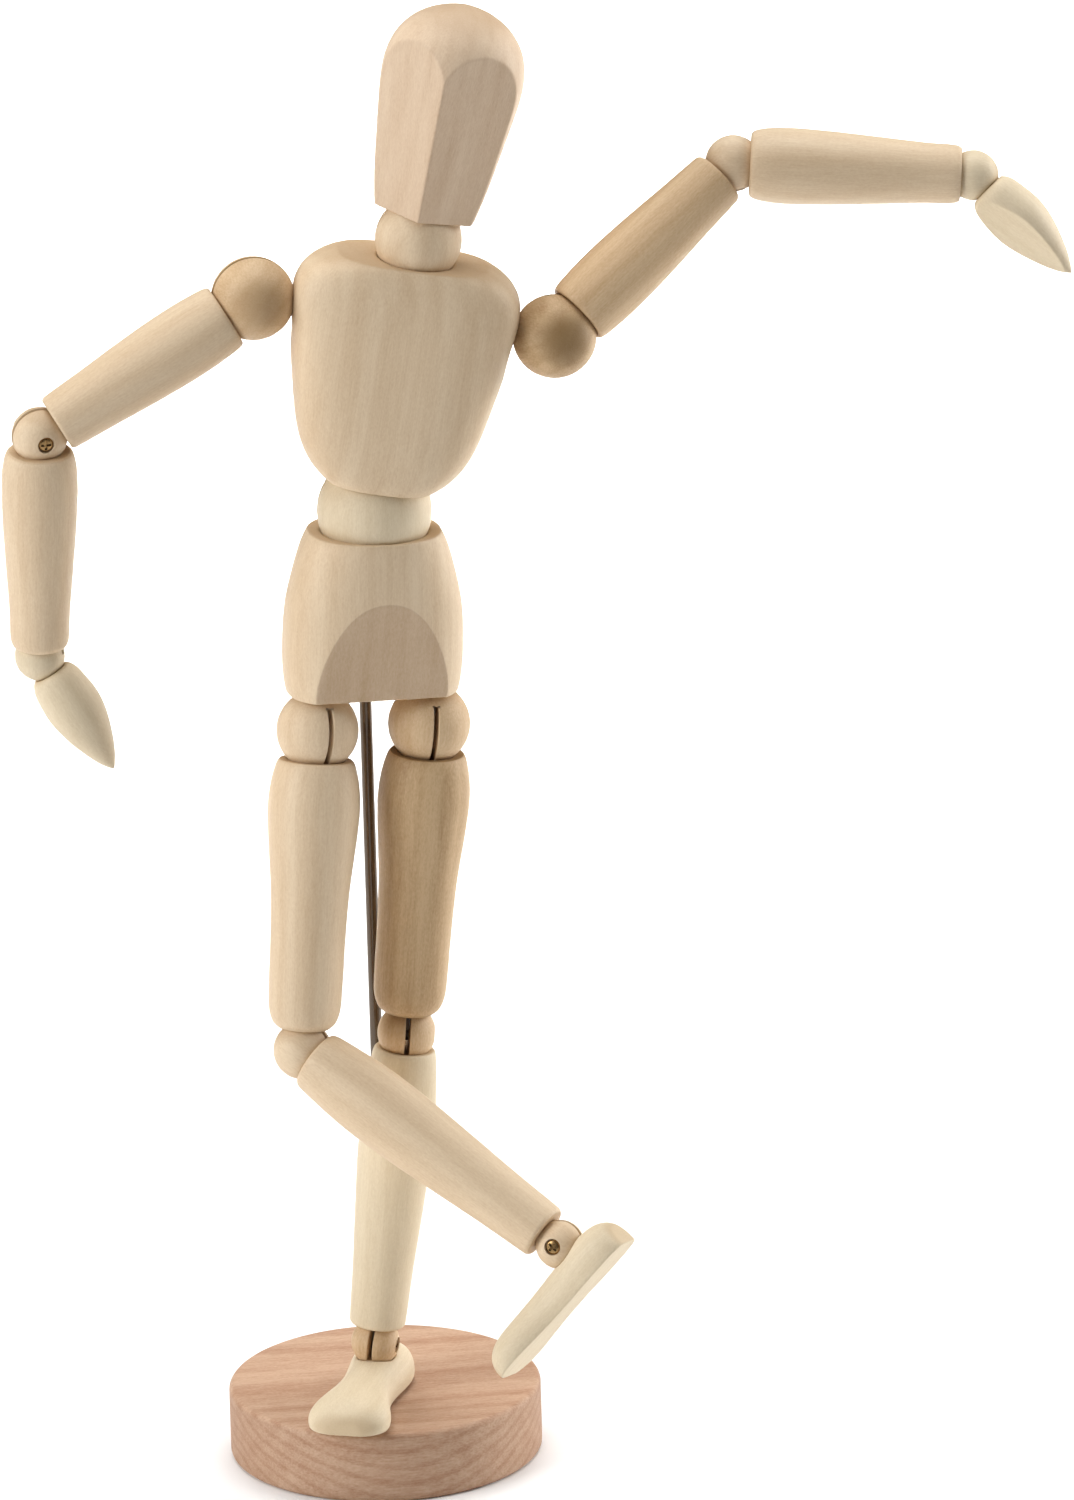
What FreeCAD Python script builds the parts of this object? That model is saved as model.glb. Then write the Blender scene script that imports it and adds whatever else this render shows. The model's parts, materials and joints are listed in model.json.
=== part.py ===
import FreeCAD, Part
import math
import os
from FreeCAD import Placement, Rotation, Vector

# Jointed wooden artist mannequin on a round stand, in millimetres.
# Origin: centre of the underside of the base disc. +Z is up and the figure faces -Y.
# The figure's right side is at -X and its left side at +X.
# Every wooden limb has an axis. A limb is drawn in its own frame: the origin is the centre of
# the ball that it starts from and +Z runs along the limb, away from that ball.

# ---------------------------------------------------------------- stand
BASE_RADIUS = 31.5
BASE_HEIGHT = 14.5
BASE_EDGE = 1.2
ROD_RADIUS = 1.25
ROD_SIDE = 0.4            # the rod stands this far to the left of the base's middle
ROD_BACK = 5.2            # and this far behind it
ROD_DEPTH = 11.0          # how deep the rod is pressed into the base
ROD_IN_PELVIS = 14.0      # how far the rod reaches into the pelvis

# ---------------------------------------------------------------- fits
CUP_GAP = 0.15            # between a ball and a wooden cup that it turns in
RUN_FIT = 0.05            # radial clearance of a turning shank, bar or pin
BORE_ROOM = 0.2           # spare length at the end of a bore
SLOT_WIDTH = 1.0          # saw slot in a ball
TAB_THICK = 0.7           # flat steel tab that swings in the slot
TAB_WIDTH = 2.6
EYE_RADIUS = 1.6
BAR_RADIUS = 0.8          # cross bar or screw shank
SHANK_RADIUS = 0.9        # round end of a link
MOUTH_RADIUS = 1.7        # bore that lets the tab into a limb
CHAMBER_RADIUS = 2.2      # bore that holds a spring
COLLAR_RADIUS = 1.7
COLLAR_LENGTH = 0.8
PEG_RADIUS = 1.2          # turned peg of a wrist or ankle ball
PEG_LENGTH = 3.0
SCREW_HEAD_RADIUS = 1.5
SCREW_HEAD_HEIGHT = 0.7
SCREW_HEAD_FIT = 0.15     # radial room round the head
SCREW_SINK = 0.35         # the head lies this far below the ball's skin
SCREW_DOME = 3.2          # radius of the head's dome
SCREW_LENGTH = 0.75       # how far the screw and its bore pass the centre, in ball radii
RECESS_WIDTH = 0.36
RECESS_LENGTH = 1.7
RECESS_DEPTH = 0.42
SPRING_RADIUS = 1.62      # middle of the wire
SPRING_WIRE = 0.26        # radius of the wire
SPRING_TURNS = 7
SPRING_ROOM = 0.15        # between a spring and what it presses on

# ---------------------------------------------------------------- balls
WAIST_BALL = 11.4
NECK_BALL = 8.6
SHOULDER_BALL = 8.3
ELBOW_BALL = 5.6
WRIST_BALL = 5.0
HIP_BALL = 8.2
KNEE_BALL = 5.85
ANKLE_BALL = 4.9

# How far each saw slot passes its ball's centre
TORSO_SLOT = 3.0          # waist, neck and shoulders
HIP_SLOT = 5.2
KNEE_SLOT = 4.0
HINGE_SLOT = 2.6          # elbows and ankles
WRIST_SLOT = 1.9

# Half lengths of the cross bars that are hidden in the balls
WAIST_BAR = 4.4
TORSO_BAR = 3.4           # neck, shoulders and hips
WRIST_BAR = 2.6

# ---------------------------------------------------------------- distances between joints
THIGH = 64.6
SHIN = 65.6
UPPER_ARM = 49.8
FOREARM = 47.5
SOLE_DROP = 10.0          # ankle centre above the sole
FOOT_CLEARANCE = 0.9      # the standing foot hangs this far above the base

# ---------------------------------------------------------------- torso layout, local frames
HIP_SPREAD = 11.4         # hip centre from the middle of the pelvis
HIP_DROP = 7.3            # hip centre below the pelvis
HIP_FRONT = 1.5
PELVIS_TOP = 33.4
WAIST_HEIGHT = 37.2       # waist centre above the underside of the pelvis
SHOULDER_HEIGHT = 40.6    # shoulder line above the waist centre, along the spine
SHOULDER_HALF = 30.0
NECK_HEIGHT = 57.0
NECK_SIDE = 0.5
CHEST_BOTTOM = 6.5
CHEST_TOP = 53.0
PELVIS_SQUARENESS = 2.3   # 2 is an ellipse in plan, more is squarer
CHEST_SQUARENESS = 2.9
PELVIS_FACE = 8.2         # planed front, ahead of the middle at the underside
PELVIS_FACE_SLOPE = 0.2
HEAD_BOTTOM = 5.3
HEAD_TOP = 48.2
FACE_ANGLE = 35.0         # each planed face is turned this far from straight ahead
FACE_SLOPE = 0.142
FACE_RIDGE = 8.8          # ridge ahead of the neck at the chin

# ---------------------------------------------------------------- hands, local frame
HAND_START = 3.9
HAND_TIP = 27.5
PALM_MIDDLE = 12.0
PALM_DEPTH = 3.4
PALM_SLOPE = 0.16


def direction(heading, rise):
    """Unit vector: heading in plan from +X towards +Y, rise above the horizontal, degrees."""
    flat = math.cos(math.radians(rise))
    return Vector(flat * math.cos(math.radians(heading)),
                  flat * math.sin(math.radians(heading)),
                  math.sin(math.radians(rise)))


def square_to(vector, axis):
    """The part of a vector that is square to an axis, as a unit vector."""
    flat = vector - axis * vector.dot(axis)
    return flat.normalize()


def frame(origin, along, across):
    """Placement with +Z along one direction and +X as near to another as it can be."""
    x_axis = square_to(across, along)
    y_axis = along.cross(x_axis)
    return Placement(origin, Rotation(x_axis, y_axis, along, "ZXY"))


def placed(shape, placement):
    """A moved copy of a shape."""
    copy = shape.copy()
    copy.Placement = placement.multiply(copy.Placement)
    return copy


# ---------------------------------------------------------------- the pose
# Pelvis: turned about the rod and leaned sideways. Other pieces: the way that each one points.
PELVIS_YAW = 13.7
PELVIS_ROLL = 2.5
PELVIS_SIDE = 1.9
PELVIS_BACK = -3.6
SPINE = direction(-10, 79.9)
SHOULDER_LINE = direction(2.5, -9.5)
HEAD_AXIS = direction(6.0, 76.8)
HEAD_YAW = -8.0
ARM_POSE = {
    "right": {
        "upper": direction(-168, -29),
        "fore": direction(110, -83.4),
        "hand": direction(-6.5, -59.3),
        "palm": direction(150, -20),
    },
    "left": {
        "upper": direction(26, 36),
        "fore": direction(-1.4, -4.2),
        "hand": direction(-18, -43.6),
        "palm": direction(-105, -35),
    },
}
LEG_POSE = {
    "right": {
        "hip_pin": 21.0,
        "thigh": direction(-115, -79.7),
        "shin": direction(-28, -30),
        "toe": direction(174.6, -49.4),
    },
    "left": {
        "hip_pin": 10.0,
        "thigh": direction(-160, -84),
        "shin": direction(-163, -82.5),
        "toe": direction(-104.4, 0),
    },
}
SIDES = {"right": -1, "left": 1}
STANDING = "left"         # the leg that stands on the base

# Which way the head of each cross screw faces along its pin
SCREW_FACING = {
    "right": {"elbow": 1, "knee": -1, "ankle": 1},
    "left": {"elbow": -1, "knee": 1, "ankle": 1},
}

UP = Vector(0, 0, 1)


def pelvis_frame():
    """Pelvis frame: middle of its underside, +X to the figure's left, +Z to the waist."""
    yaw = Rotation(UP, PELVIS_YAW)
    roll = Rotation(Vector(0, 1, 0), PELVIS_ROLL)
    turn = yaw.multiply(roll)
    standing = LEG_POSE[STANDING]
    ankle_height = BASE_HEIGHT + FOOT_CLEARANCE + SOLE_DROP
    hip_height = ankle_height - SHIN * standing["shin"].z - THIGH * standing["thigh"].z
    hip = turn.multVec(Vector(SIDES[STANDING] * HIP_SPREAD, -HIP_FRONT, -HIP_DROP))
    origin = Vector(PELVIS_SIDE, PELVIS_BACK, hip_height - hip.z)
    return Placement(origin, turn)


PELVIS = pelvis_frame()
WAIST = PELVIS.multVec(Vector(0, 0, WAIST_HEIGHT))
CHEST = frame(WAIST, SPINE, SHOULDER_LINE)
NECK = CHEST.multVec(Vector(NECK_SIDE, 0, NECK_HEIGHT))
HEAD = frame(NECK, HEAD_AXIS, direction(HEAD_YAW, 0))


# ---------------------------------------------------------------- plain solids
def cylinder(radius, start, end, axis=UP):
    """Cylinder about an axis through the origin, from start to end along it."""
    return Part.makeCylinder(radius, end - start, axis * start, axis)


def ball(radius):
    return Part.makeSphere(radius)


def turned(points, start, end):
    """Turned solid: a smooth outline through (height, radius) points, closed on the axis."""
    outline = Part.BSplineCurve()
    outline.interpolate([Vector(radius, 0, height) for height, radius in points])
    low = Vector(0, 0, start)
    high = Vector(0, 0, end)
    first = outline.StartPoint
    last = outline.EndPoint
    edges = [outline.toShape(), Part.makeLine(high, low)]
    if first.distanceToPoint(low) > 1e-6:
        edges.append(Part.makeLine(low, first))
    if last.distanceToPoint(high) > 1e-6:
        edges.append(Part.makeLine(last, high))
    wire = Part.Wire(Part.__sortEdges__(edges))
    return Part.Face(wire).revolve(Vector(0, 0, 0), UP, 360)


def oval(half_x, half_y, height, power):
    """Closed smooth section: a superellipse square to Z."""
    count = 24
    points = []
    for step in range(count):
        angle = 2 * math.pi * step / count
        x = math.copysign(abs(math.cos(angle)) ** (2 / power), math.cos(angle)) * half_x
        y = math.copysign(abs(math.sin(angle)) ** (2 / power), math.sin(angle)) * half_y
        points.append(Vector(x, y, height))
    curve = Part.BSplineCurve()
    curve.interpolate(points, PeriodicFlag=True)
    return Part.Wire(curve.toShape())


def half_space(point, normal, size=80.0):
    """Large block on the side of a plane that its normal points to."""
    block = Part.makeBox(size, size, size, Vector(-size / 2, -size / 2, 0))
    return placed(block, frame(point, Vector(normal).normalize(), Vector(1, 0.01, 0.02)))


# ---------------------------------------------------------------- joint hardware
def slotted_ball(radius, slot_depth, bar_half=None):
    """Ball with a saw slot square to X that opens towards +Z, bored along X for its pin.

    slot_depth is how far the slot passes the centre. A blind bore for a link's own cross bar
    is bar_half long each way, and opens at one side.
    """
    body = ball(radius)
    slot = Part.makeBox(SLOT_WIDTH, 4 * radius, 3 * radius,
                        Vector(-SLOT_WIDTH / 2, -2 * radius, -slot_depth))
    body = body.cut(slot)
    across = Vector(1, 0, 0)
    if bar_half is None:
        sink = radius - SCREW_HEAD_HEIGHT - SCREW_SINK
        body = body.cut(cylinder(BAR_RADIUS, -radius * SCREW_LENGTH, 2 * radius, across))
        body = body.cut(cylinder(SCREW_HEAD_RADIUS + SCREW_HEAD_FIT, sink, 2 * radius, across))
    else:
        body = body.cut(cylinder(BAR_RADIUS + RUN_FIT, -bar_half - BORE_ROOM, 2 * radius, across))
    return body


def peg(radius, along):
    """Turned peg that a hand or foot turns on: it stands out of its ball along an axis."""
    root = radius * 0.8
    return cylinder(PEG_RADIUS, root, radius + PEG_LENGTH, along)


def pin_plug(radius, bar_half):
    """Wooden plug that closes the bore of a hidden cross bar."""
    plug = cylinder(BAR_RADIUS + RUN_FIT, bar_half + BORE_ROOM, 2 * radius, Vector(1, 0, 0))
    return plug.common(ball(radius))


def plugged_ball(radius, slot_depth, bar_half):
    """Slotted ball whose cross-bar bore is plugged, so that no pin shows."""
    return slotted_ball(radius, slot_depth, bar_half).fuse(pin_plug(radius, bar_half))


def cross_screw(radius):
    """Phillips screw along X that crosses the slot and holds a link's eye."""
    across = Vector(1, 0, 0)
    face = radius - SCREW_SINK
    under = face - SCREW_HEAD_HEIGHT
    lap = 0.1
    screw = cylinder(BAR_RADIUS, -radius * SCREW_LENGTH, under + lap, across)
    head = cylinder(SCREW_HEAD_RADIUS, under, face, across)
    dome = Part.makeSphere(SCREW_DOME, Vector(face - SCREW_DOME, 0, 0))
    screw = screw.fuse(head.common(dome))
    for width, height in ((RECESS_WIDTH, RECESS_LENGTH), (RECESS_LENGTH, RECESS_WIDTH)):
        corner = Vector(face - RECESS_DEPTH, -width / 2, -height / 2)
        screw = screw.cut(Part.makeBox(2 * RECESS_DEPTH, width, height, corner))
    return screw


def link(reach, shank, bar_half=None, collar=True):
    """Flat steel link: an eye or cross bar at the origin, a tab, and a round shank along +Z."""
    across = Vector(1, 0, 0)
    plate = cylinder(EYE_RADIUS, -TAB_THICK / 2, TAB_THICK / 2, across)
    tab = Part.makeBox(TAB_THICK, TAB_WIDTH, reach, Vector(-TAB_THICK / 2, -TAB_WIDTH / 2, 0))
    body = plate.fuse(tab)
    if bar_half is None:
        body = body.cut(cylinder(BAR_RADIUS + RUN_FIT, -1, 1, across))
    else:
        body = body.fuse(cylinder(BAR_RADIUS, -bar_half, bar_half, across))
    overlap = 0.6
    end = reach + shank
    body = body.fuse(cylinder(SHANK_RADIUS, reach - overlap, end))
    if collar:
        body = body.fuse(cylinder(COLLAR_RADIUS, end - COLLAR_LENGTH, end))
    return body.removeSplitter()


def link_bore(reach, bearing, shank, radius):
    """Room for a link inside a limb: mouth, bearing for the shank, then a spring chamber."""
    end = reach + shank
    body = cylinder(MOUTH_RADIUS, 0, reach + BORE_ROOM)
    body = body.fuse(cylinder(radius, reach, end + BORE_ROOM))
    if bearing:
        body = body.fuse(cylinder(CHAMBER_RADIUS, reach + bearing, end + 3 * BORE_ROOM))
    return body


def coil(start, end, turns=SPRING_TURNS):
    """Coil spring about Z."""
    pitch = (end - start - 2 * SPRING_WIRE) / turns
    helix = Part.makeHelix(pitch, pitch * turns, SPRING_RADIUS)
    wire = Part.makeCircle(SPRING_WIRE, Vector(SPRING_RADIUS, 0, 0), Vector(0, 1, 0))
    spring = Part.Wire(helix.Edges).makePipeShell([Part.Wire(wire)], True, True)
    return placed(spring, Placement(Vector(0, 0, start + SPRING_WIRE), Rotation()))


def cup(radius, gap=CUP_GAP):
    """Spherical hollow that a ball sits in."""
    return ball(radius + gap)


# ---------------------------------------------------------------- stand
def base_disc():
    """Round base with rounded rims and the socket that the rod is pressed into."""
    disc = Part.makeCylinder(BASE_RADIUS, BASE_HEIGHT)
    rims = [edge for edge in disc.Edges if edge.Closed]
    disc = disc.makeFillet(BASE_EDGE, rims)
    foot_of_rod = Vector(ROD_SIDE, ROD_BACK, BASE_HEIGHT - ROD_DEPTH)
    return disc.cut(Part.makeCylinder(ROD_RADIUS, 2 * ROD_DEPTH, foot_of_rod))


def rod_top():
    """Height of the rod's top end, inside the pelvis."""
    return PELVIS.Base.z + ROD_IN_PELVIS


def support_rod():
    """Steel rod from inside the base to inside the pelvis."""
    low = BASE_HEIGHT - ROD_DEPTH
    return Part.makeCylinder(ROD_RADIUS, rod_top() - low, Vector(ROD_SIDE, ROD_BACK, low))


# ---------------------------------------------------------------- torso and head
HIP_SPRING_BOTTOM = 2.2
HIP_SPRING_TOP = 16.0


def pelvis():
    """Pelvis block with a planed front, cups for the waist and hip balls, and spring bores."""
    sections = (
        (0.0, 17.2, 11.6),
        (4.0, 17.9, 12.1),
        (12.0, 18.1, 12.4),
        (20.0, 17.4, 12.4),
        (27.0, 15.7, 12.2),
        (31.5, 14.2, 11.9),
        (PELVIS_TOP, 13.2, 11.6),
    )
    wires = [oval(half_x, half_y, height, PELVIS_SQUARENESS)
             for height, half_x, half_y in sections]
    body = Part.makeLoft(wires, True, False)
    face_normal = Vector(0, -1, -PELVIS_FACE_SLOPE)
    body = body.cut(half_space(Vector(0, -PELVIS_FACE, 0), face_normal))
    waist_cup = placed(cup(WAIST_BALL), Placement(Vector(0, 0, WAIST_HEIGHT), Rotation()))
    body = body.cut(waist_cup)
    for side in SIDES.values():
        centre = Vector(side * HIP_SPREAD, -HIP_FRONT, -HIP_DROP)
        body = body.cut(placed(cup(HIP_BALL), Placement(centre, Rotation())))
        bore = Part.makeCylinder(CHAMBER_RADIUS, HIP_SPRING_TOP, Vector(centre.x, centre.y, 0))
        body = body.cut(bore)
    body = placed(body, PELVIS)
    below = PELVIS.Base.z - ROD_IN_PELVIS
    depth = rod_top() + BORE_ROOM / 2 - below
    socket = Part.makeCylinder(ROD_RADIUS + RUN_FIT, depth, Vector(ROD_SIDE, ROD_BACK, below))
    return body.cut(socket)


def hip_springs():
    """The two springs that pull the hip balls up into the pelvis."""
    springs = []
    for side in SIDES.values():
        seat = Placement(Vector(side * HIP_SPREAD, -HIP_FRONT, 0), Rotation())
        spring = coil(HIP_SPRING_BOTTOM, HIP_SPRING_TOP - BORE_ROOM)
        springs.append(placed(spring, PELVIS.multiply(seat)))
    return Part.makeCompound(springs)


# reach: from a ball's centre to the end of its link's flat tab
WAIST_REACH = WAIST_BALL + 1.2
SPINE_SHANK = 16.0
SPINE_BEARING = 4.0


def chest():
    """Chest block: a rounded shield, widest at the shoulders."""
    sections = (
        (CHEST_BOTTOM, 10.6, 10.0),
        (9.5, 14.3, 11.0),
        (14.0, 17.1, 11.5),
        (22.0, 19.4, 11.8),
        (32.0, 21.3, 11.9),
        (41.0, 22.4, 11.8),
        (46.5, 22.2, 11.2),
        (50.5, 19.6, 10.2),
        (CHEST_TOP, 15.0, 8.8),
    )
    wires = [oval(half_x, half_y, height, CHEST_SQUARENESS)
             for height, half_x, half_y in sections]
    body = Part.makeLoft(wires, True, False)
    body = body.cut(cup(WAIST_BALL))
    neck = Placement(Vector(NECK_SIDE, 0, NECK_HEIGHT), Rotation())
    body = body.cut(placed(cup(NECK_BALL), neck))
    for side in SIDES.values():
        centre = Vector(side * SHOULDER_HALF, 0, SHOULDER_HEIGHT)
        body = body.cut(placed(cup(SHOULDER_BALL), Placement(centre, Rotation())))
    across = Part.makeCylinder(CHAMBER_RADIUS, 2 * SHOULDER_HALF,
                               Vector(-SHOULDER_HALF, 0, SHOULDER_HEIGHT), Vector(1, 0, 0))
    body = body.cut(across)
    body = body.cut(link_bore(WAIST_REACH, SPINE_BEARING, SPINE_SHANK, SHANK_RADIUS + RUN_FIT))
    return placed(body, CHEST)


def shoulder_spring():
    """Spring across the chest that pulls both shoulder balls in."""
    ball_room = 0.6
    length = 2 * (SHOULDER_HALF - SHOULDER_BALL - ball_room)
    lying = Placement(Vector(-length / 2, 0, SHOULDER_HEIGHT), Rotation(Vector(0, 1, 0), 90))
    return placed(coil(0, length, turns=16), CHEST.multiply(lying))


def spring_on_link(reach, bearing, shank):
    """Spring between a limb's bearing and the collar of the link that turns in it."""
    start = reach + bearing + SPRING_ROOM
    end = reach + shank - COLLAR_LENGTH - SPRING_ROOM
    return coil(start, end)


HEAD_REACH = NECK_BALL + 1.0
HEAD_SHANK = 9.0


def head():
    """Egg-shaped head with two planed faces that meet in a ridge down the front."""
    outline = ((HEAD_BOTTOM, 9.9), (12.0, 11.3), (20.0, 12.5), (28.0, 13.6), (35.0, 14.0),
               (40.5, 12.6), (44.6, 9.3), (47.0, 5.0), (HEAD_TOP, 0.0))
    body = turned(outline, HEAD_BOTTOM, HEAD_TOP)
    turn = math.radians(FACE_ANGLE)
    for side in SIDES.values():
        normal = Vector(side * math.sin(turn), -math.cos(turn), -FACE_SLOPE)
        body = body.cut(half_space(Vector(0, -FACE_RIDGE, HEAD_BOTTOM), normal))
    body = body.cut(cup(NECK_BALL))
    body = body.cut(link_bore(HEAD_REACH, 0, HEAD_SHANK, SHANK_RADIUS + RUN_FIT))
    return placed(body, HEAD)


# ---------------------------------------------------------------- limbs
def limb(points, start_ball, end_ball, length, start_gap=CUP_GAP):
    """Turned limb with a cup at each end. points are (height, radius) along the limb."""
    body = turned(points, points[0][0], points[-1][0])
    body = body.cut(cup(start_ball, start_gap))
    far = Placement(Vector(0, 0, length), Rotation())
    return body.cut(placed(cup(end_ball), far))


def far_bore(length, reach, shank):
    """Bore at a limb's far end for the link that is fixed in it."""
    flipped = Placement(Vector(0, 0, length), Rotation(Vector(1, 0, 0), 180))
    return placed(link_bore(reach, 0, shank, SHANK_RADIUS), flipped)


SHOULDER_REACH = SHOULDER_BALL + 1.2
ELBOW_REACH = ELBOW_BALL + 1.2
WRIST_REACH = WRIST_BALL + 1.0
HIP_REACH = HIP_BALL + 1.2
KNEE_REACH = KNEE_BALL + 1.2
ANKLE_REACH = ANKLE_BALL + 1.0
LIMB_BEARING = 3.0
LIMB_SHANK = 14.0
FIXED_SHANK = 6.0


def upper_arm():
    outline = ((6.3, 6.3), (6.8, 6.7), (11.0, 7.2), (18.0, 7.35), (27.0, 7.0),
               (36.0, 6.4), (44.0, 5.95), (45.3, 5.8), (45.8, 5.45))
    body = limb(outline, SHOULDER_BALL, ELBOW_BALL, UPPER_ARM)
    body = body.cut(link_bore(SHOULDER_REACH, LIMB_BEARING, LIMB_SHANK, SHANK_RADIUS + RUN_FIT))
    return body.cut(far_bore(UPPER_ARM, ELBOW_REACH, FIXED_SHANK))


def forearm():
    outline = ((3.3, 6.0), (3.8, 6.6), (6.5, 7.3), (10.5, 7.55), (18.0, 7.35),
               (28.0, 6.7), (38.0, 6.0), (44.0, 5.75), (45.0, 5.3))
    body = limb(outline, ELBOW_BALL, WRIST_BALL, FOREARM, start_gap=0.0)
    return body.cut(far_bore(FOREARM, WRIST_REACH, FIXED_SHANK))


def thigh():
    outline = ((5.9, 7.3), (6.4, 7.7), (10.0, 8.7), (15.0, 9.2), (21.0, 8.9), (32.0, 7.9),
               (42.0, 7.5), (52.0, 7.35), (56.5, 7.1), (59.0, 6.2), (60.1, 5.0))
    body = limb(outline, HIP_BALL, KNEE_BALL, THIGH)
    body = body.cut(link_bore(HIP_REACH, LIMB_BEARING, LIMB_SHANK, SHANK_RADIUS + RUN_FIT))
    return body.cut(far_bore(THIGH, KNEE_REACH, FIXED_SHANK))


def shin():
    outline = ((3.2, 5.8), (3.7, 6.2), (9.0, 6.9), (17.0, 7.45), (26.0, 7.4), (38.0, 6.8),
               (50.0, 6.1), (60.0, 5.7), (61.2, 5.6), (61.7, 5.2))
    body = limb(outline, KNEE_BALL, ANKLE_BALL, SHIN, start_gap=0.0)
    return body.cut(far_bore(SHIN, ANKLE_REACH, FIXED_SHANK))


def hand():
    """Mitten hand: a pointed oval with a flat palm on its -Y side."""
    outline = ((HAND_START, 3.6), (4.3, 4.1), (8.0, 5.4), (12.0, 5.8), (16.5, 5.2),
               (21.0, 3.7), (25.0, 1.8), (HAND_TIP, 0.0))
    body = turned(outline, HAND_START, HAND_TIP)
    palm = Vector(0, -PALM_DEPTH, PALM_MIDDLE)
    body = body.cut(half_space(palm, Vector(0, -1, PALM_SLOPE)))
    body = body.cut(cup(WRIST_BALL))
    return body.cut(cylinder(PEG_RADIUS + RUN_FIT, 0, WRIST_BALL + PEG_LENGTH + BORE_ROOM))


def foot_section(y, half_width, height):
    """Section of the foot square to its length: flat below, arched above."""
    low = -SOLE_DROP
    left = Vector(-half_width, y, low)
    right = Vector(half_width, y, low)
    arch = Part.BSplineCurve()
    arch.interpolate([right,
                      Vector(half_width * 1.02, y, low + height * 0.38),
                      Vector(half_width * 0.72, y, low + height * 0.84),
                      Vector(0, y, low + height),
                      Vector(-half_width * 0.72, y, low + height * 0.84),
                      Vector(-half_width * 1.02, y, low + height * 0.38),
                      left])
    return Part.Wire([Part.makeLine(left, right), arch.toShape()])


def foot():
    """Foot in its own frame: origin at the ankle, toe towards +Y, sole square to Z."""
    stations = ((-10.6, 3.0, 4.0), (-9.6, 4.9, 6.4), (-6.0, 6.0, 7.9), (0.0, 5.9, 7.8),
                (7.0, 5.3, 7.3), (13.0, 5.9, 6.9), (19.0, 7.6, 6.6), (23.5, 7.8, 5.9),
                (26.2, 5.8, 4.3), (27.2, 3.0, 2.4))
    body = Part.makeLoft([foot_section(*station) for station in stations], True, False)
    body = body.cut(cup(ANKLE_BALL))
    return body.cut(cylinder(PEG_RADIUS + RUN_FIT, -ANKLE_BALL - PEG_LENGTH - BORE_ROOM, 0))


# ---------------------------------------------------------------- where everything goes
def towards_front(vector):
    """Turn an axis so that it points to the figure's front."""
    return vector if vector.y < 0 else vector * -1


def arm_layout(side):
    """Centres, pins and frames of one arm."""
    pose = ARM_POSE[side]
    sign = SIDES[side]
    facing = SCREW_FACING[side]
    shoulder = CHEST.multVec(Vector(sign * SHOULDER_HALF, 0, SHOULDER_HEIGHT))
    elbow = shoulder + pose["upper"] * UPPER_ARM
    wrist = elbow + pose["fore"] * FOREARM
    out = CHEST.Rotation.multVec(Vector(sign, 0, 0))
    back = CHEST.Rotation.multVec(Vector(0, 1, 0))
    elbow_pin = towards_front(pose["upper"].cross(pose["fore"]).normalize())
    wrist_pin = pose["fore"].cross(pose["hand"]).normalize()
    shoulder_pin = towards_front(square_to(back, pose["upper"])) * -1
    return {
        "shoulder": shoulder, "elbow": elbow, "wrist": wrist, "out": out,
        "shoulder_pin": shoulder_pin, "elbow_pin": elbow_pin, "wrist_pin": wrist_pin,
        "shoulder_ball": frame(shoulder, square_to(out, shoulder_pin), shoulder_pin),
        "shoulder_link": frame(shoulder, pose["upper"], shoulder_pin),
        "upper_arm": frame(shoulder, pose["upper"], shoulder_pin),
        "elbow_link": frame(elbow, pose["upper"] * -1, elbow_pin),
        "elbow_ball": frame(elbow, pose["fore"] * -1, elbow_pin * facing["elbow"]),
        "forearm": frame(elbow, pose["fore"], elbow_pin),
        "wrist_link": frame(wrist, pose["fore"] * -1, wrist_pin),
        "wrist_ball": frame(wrist, pose["hand"] * -1, wrist_pin),
        "hand": frame(wrist, pose["hand"], pose["palm"].cross(pose["hand"]).normalize() * -1),
    }


def leg_layout(side):
    """Centres, pins and frames of one leg."""
    pose = LEG_POSE[side]
    sign = SIDES[side]
    facing = SCREW_FACING[side]
    hip = PELVIS.multVec(Vector(sign * HIP_SPREAD, -HIP_FRONT, -HIP_DROP))
    knee = hip + pose["thigh"] * THIGH
    ankle = knee + pose["shin"] * SHIN
    hip_pin = square_to(direction(pose["hip_pin"], 0), pose["thigh"])
    ankle_pin = towards_front(pose["shin"].cross(pose["toe"]).normalize())
    if side == STANDING:
        knee_pin = square_to(direction(2, 0), pose["thigh"])
        rise = UP
    else:
        knee_pin = towards_front(pose["thigh"].cross(pose["shin"]).normalize())
        rise = square_to(pose["shin"] * -1, pose["toe"])
    sideways = pose["toe"].cross(rise)
    slot_way = square_to(pose["shin"] * -1, knee_pin)
    return {
        "hip": hip, "knee": knee, "ankle": ankle, "rise": rise,
        "hip_pin": hip_pin, "knee_pin": knee_pin, "ankle_pin": ankle_pin,
        "spread_axis": square_to(Vector(0, 1, 0), hip_pin),
        "hip_ball": frame(hip, pose["thigh"], hip_pin),
        "hip_link": frame(hip, pose["thigh"], hip_pin),
        "thigh": frame(hip, pose["thigh"], hip_pin),
        "knee_link": frame(knee, pose["thigh"] * -1, knee_pin),
        "knee_ball": frame(knee, slot_way, knee_pin * facing["knee"]),
        "shin": frame(knee, pose["shin"], knee_pin),
        "ankle_link": frame(ankle, pose["shin"] * -1, ankle_pin),
        "ankle_ball": frame(ankle, square_to(rise, ankle_pin), ankle_pin * facing["ankle"]),
        "foot": Placement(ankle, Rotation(sideways, pose["toe"], rise, "ZXY")),
    }


ARMS = {side: arm_layout(side) for side in SIDES}
LEGS = {side: leg_layout(side) for side in SIDES}

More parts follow.
